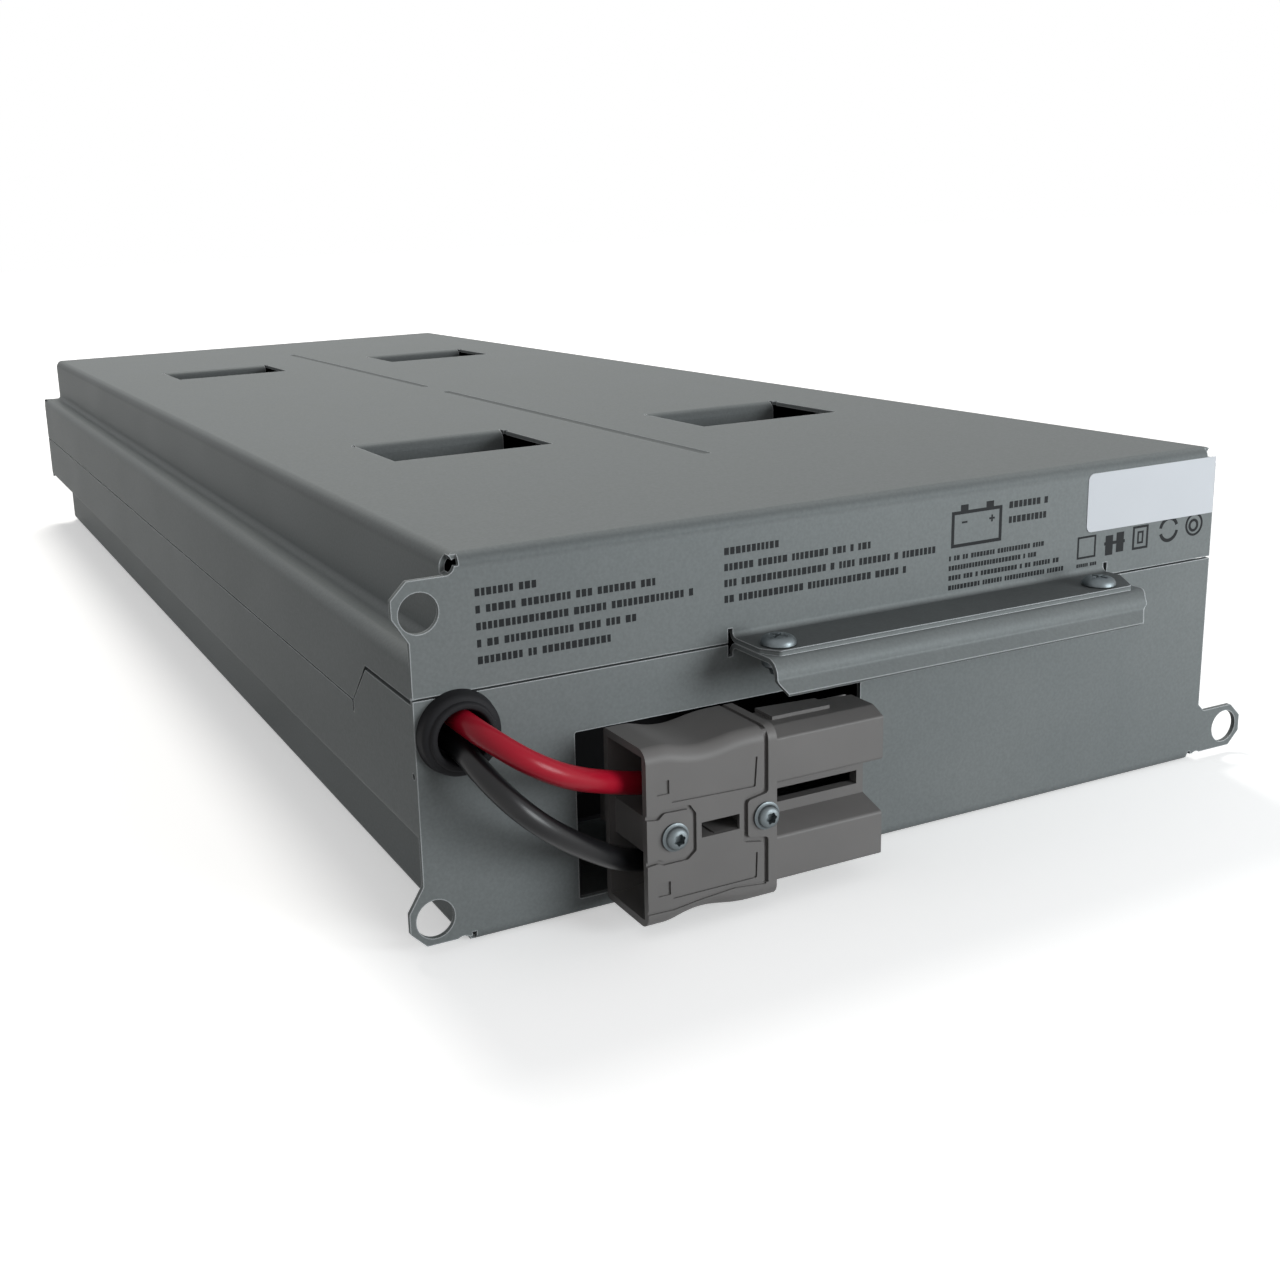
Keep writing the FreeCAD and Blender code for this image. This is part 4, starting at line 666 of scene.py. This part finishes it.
def make_print():
    """Plain stand-ins for the printed front: rows of small blocks, a battery outline and simple shapes."""
    mesh_piece("front_shapes", INK, front_shapes)
    places, reaches, heights = [], [], []
    for x, z, pitch, height, lengths in WORD_BLOCKS:
        for line, reach in enumerate(lengths):
            places.append((x * MM, PANEL - INK_FILM / 2, (z - line * pitch + height / 2) * MM))
            reaches.append(reach * MM)
            heights.append(height * MM)
    data = grown("front_words", word_tree(INK), places,
                 {"reach": ("FLOAT", reaches), "height": ("FLOAT", heights),
                  "row": ("INT", range(len(places)))},
                 {"Most Blocks": 60, "Narrowest": 0.42, "Widest": 0.72, "Gap": 0.24, "Word Gap": 0.85,
                  "Word Ends": 0.14, "Film": INK_FILM, "Seed": 4})
    words = bpy.data.objects.new("front_words", data)
    bpy.context.scene.collection.objects.link(words)
    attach(words, "root")


# ------------------------------------------------------------------ studio
def seen_directly(tree):
    """One for camera, mirror and see-through rays, and zero for the rays that only light the object."""
    path = add(tree, "ShaderNodeLightPath")
    either = add(tree, "ShaderNodeMath", {0: path.outputs["Is Camera Ray"], 1: path.outputs["Is Glossy Ray"]},
                 operation="MAXIMUM")
    return add(tree, "ShaderNodeMath", {0: either.outputs[0], 1: path.outputs["Is Transmission Ray"]},
               operation="MAXIMUM").outputs[0]


def make_floor():
    """A pale floor that keeps the case's shadow near by and goes to white away from it."""
    half = 6.0
    below = 0.2 * MM           # just under the case, so that no two faces share a plane
    corners = [(-half, -half, 0), (half, -half, 0), (half, half, 0), (-half, half, 0)]
    data = bpy.data.meshes.new("floor")
    data.from_pydata(corners, [], [(0, 1, 2, 3)])
    floor = bpy.data.objects.new("floor", data)
    bpy.context.scene.collection.objects.link(floor)
    floor.location.z = -below
    material, tree, shader = new_material("studio_floor")
    shader.inputs["Roughness"].default_value = 0.9
    shader.inputs["Specular IOR Level"].default_value = 0.0
    tone = add(tree, "ShaderNodeMix", {"Factor": seen_directly(tree)}, data_type="RGBA")
    tone.inputs["A"].default_value = srgb("#6A6A6A")
    tone.inputs["B"].default_value = (1, 1, 1, 1)
    tree.links.new(tone.outputs["Result"], shader.inputs["Base Color"])
    shader.inputs["Emission Color"].default_value = (1, 1, 1, 1)
    place = add(tree, "ShaderNodeTexCoord")
    away = add(tree, "ShaderNodeVectorMath", {0: place.outputs["Object"]}, operation="LENGTH")
    lift = add(tree, "ShaderNodeMapRange", {"Value": away.outputs["Value"]},
               {"From Min": 0.5, "From Max": 2.2, "To Min": 0.42, "To Max": 0.72})
    glow = add(tree, "ShaderNodeMath", {0: seen_directly(tree), 1: lift.outputs["Result"]},
               operation="MULTIPLY")
    tree.links.new(glow.outputs[0], shader.inputs["Emission Strength"])
    data.materials.append(material)


def make_surround():
    """A surround that is white to the eye and lights the object softly."""
    world = bpy.data.worlds.new("studio")
    bpy.context.scene.world = world
    world.use_nodes = True
    tree = world.node_tree
    tree.nodes.clear()
    ambient = add(tree, "ShaderNodeBackground", None, {"Color": (1, 1, 1, 1), "Strength": 0.35})
    white = add(tree, "ShaderNodeBackground", None, {"Color": (1, 1, 1, 1), "Strength": 1.0})
    mix = add(tree, "ShaderNodeMixShader",
              {0: seen_directly(tree), 1: ambient.outputs[0], 2: white.outputs[0]})
    add(tree, "ShaderNodeOutputWorld", {"Surface": mix.outputs[0]})


# a high lamp behind the case lights its top, and a low one before its right end lights the front:
# name, place, the point that it faces, diameter, colour and watts
LAMPS = (("above", (0.2, 1.1, 1.8), (0.0, 0.0, 0.08), 0.7, "#FFFDF8", 19.5),
         ("front", (0.35, -0.85, 0.13), (0.05, -0.27, 0.05), 0.4, "#F8FDFF", 4.3))


def make_lamps():
    """Round soft lamps, each turned to face its point."""
    for name, place, toward, size, colour, watts in LAMPS:
        data = bpy.data.lights.new(name, "AREA")
        data.shape = "DISK"
        data.size = size
        data.energy = watts
        data.color = srgb(colour)[:3]
        lamp = bpy.data.objects.new(name, data)
        bpy.context.scene.collection.objects.link(lamp)
        lamp.location = place
        lamp.rotation_euler = (Vector(toward) - Vector(place)).to_track_quat("-Z", "Y").to_euler()


def make_camera():
    """A camera before the case's left front corner and a little above it, shifted to frame the whole case."""
    data = bpy.data.cameras.new("camera")
    data.lens = 41.25
    data.sensor_width = 36.0
    data.shift_x = 0.1054
    data.shift_y = -0.0575
    camera = bpy.data.objects.new("camera", data)
    bpy.context.scene.collection.objects.link(camera)
    camera.location = (-0.2083, -0.5322, 0.1485)
    tilt, roll, heading = 76.517, 2.411, -24.424
    camera.rotation_euler = Euler([math.radians(angle) for angle in (tilt, roll, heading)])
    bpy.context.scene.camera = camera


dress_nodes()
make_leads(make_screws())
make_print()
make_floor()
make_surround()
make_lamps()
make_camera()
bpy.context.scene.view_settings.view_transform = "Standard"
bpy.context.view_layer.update()
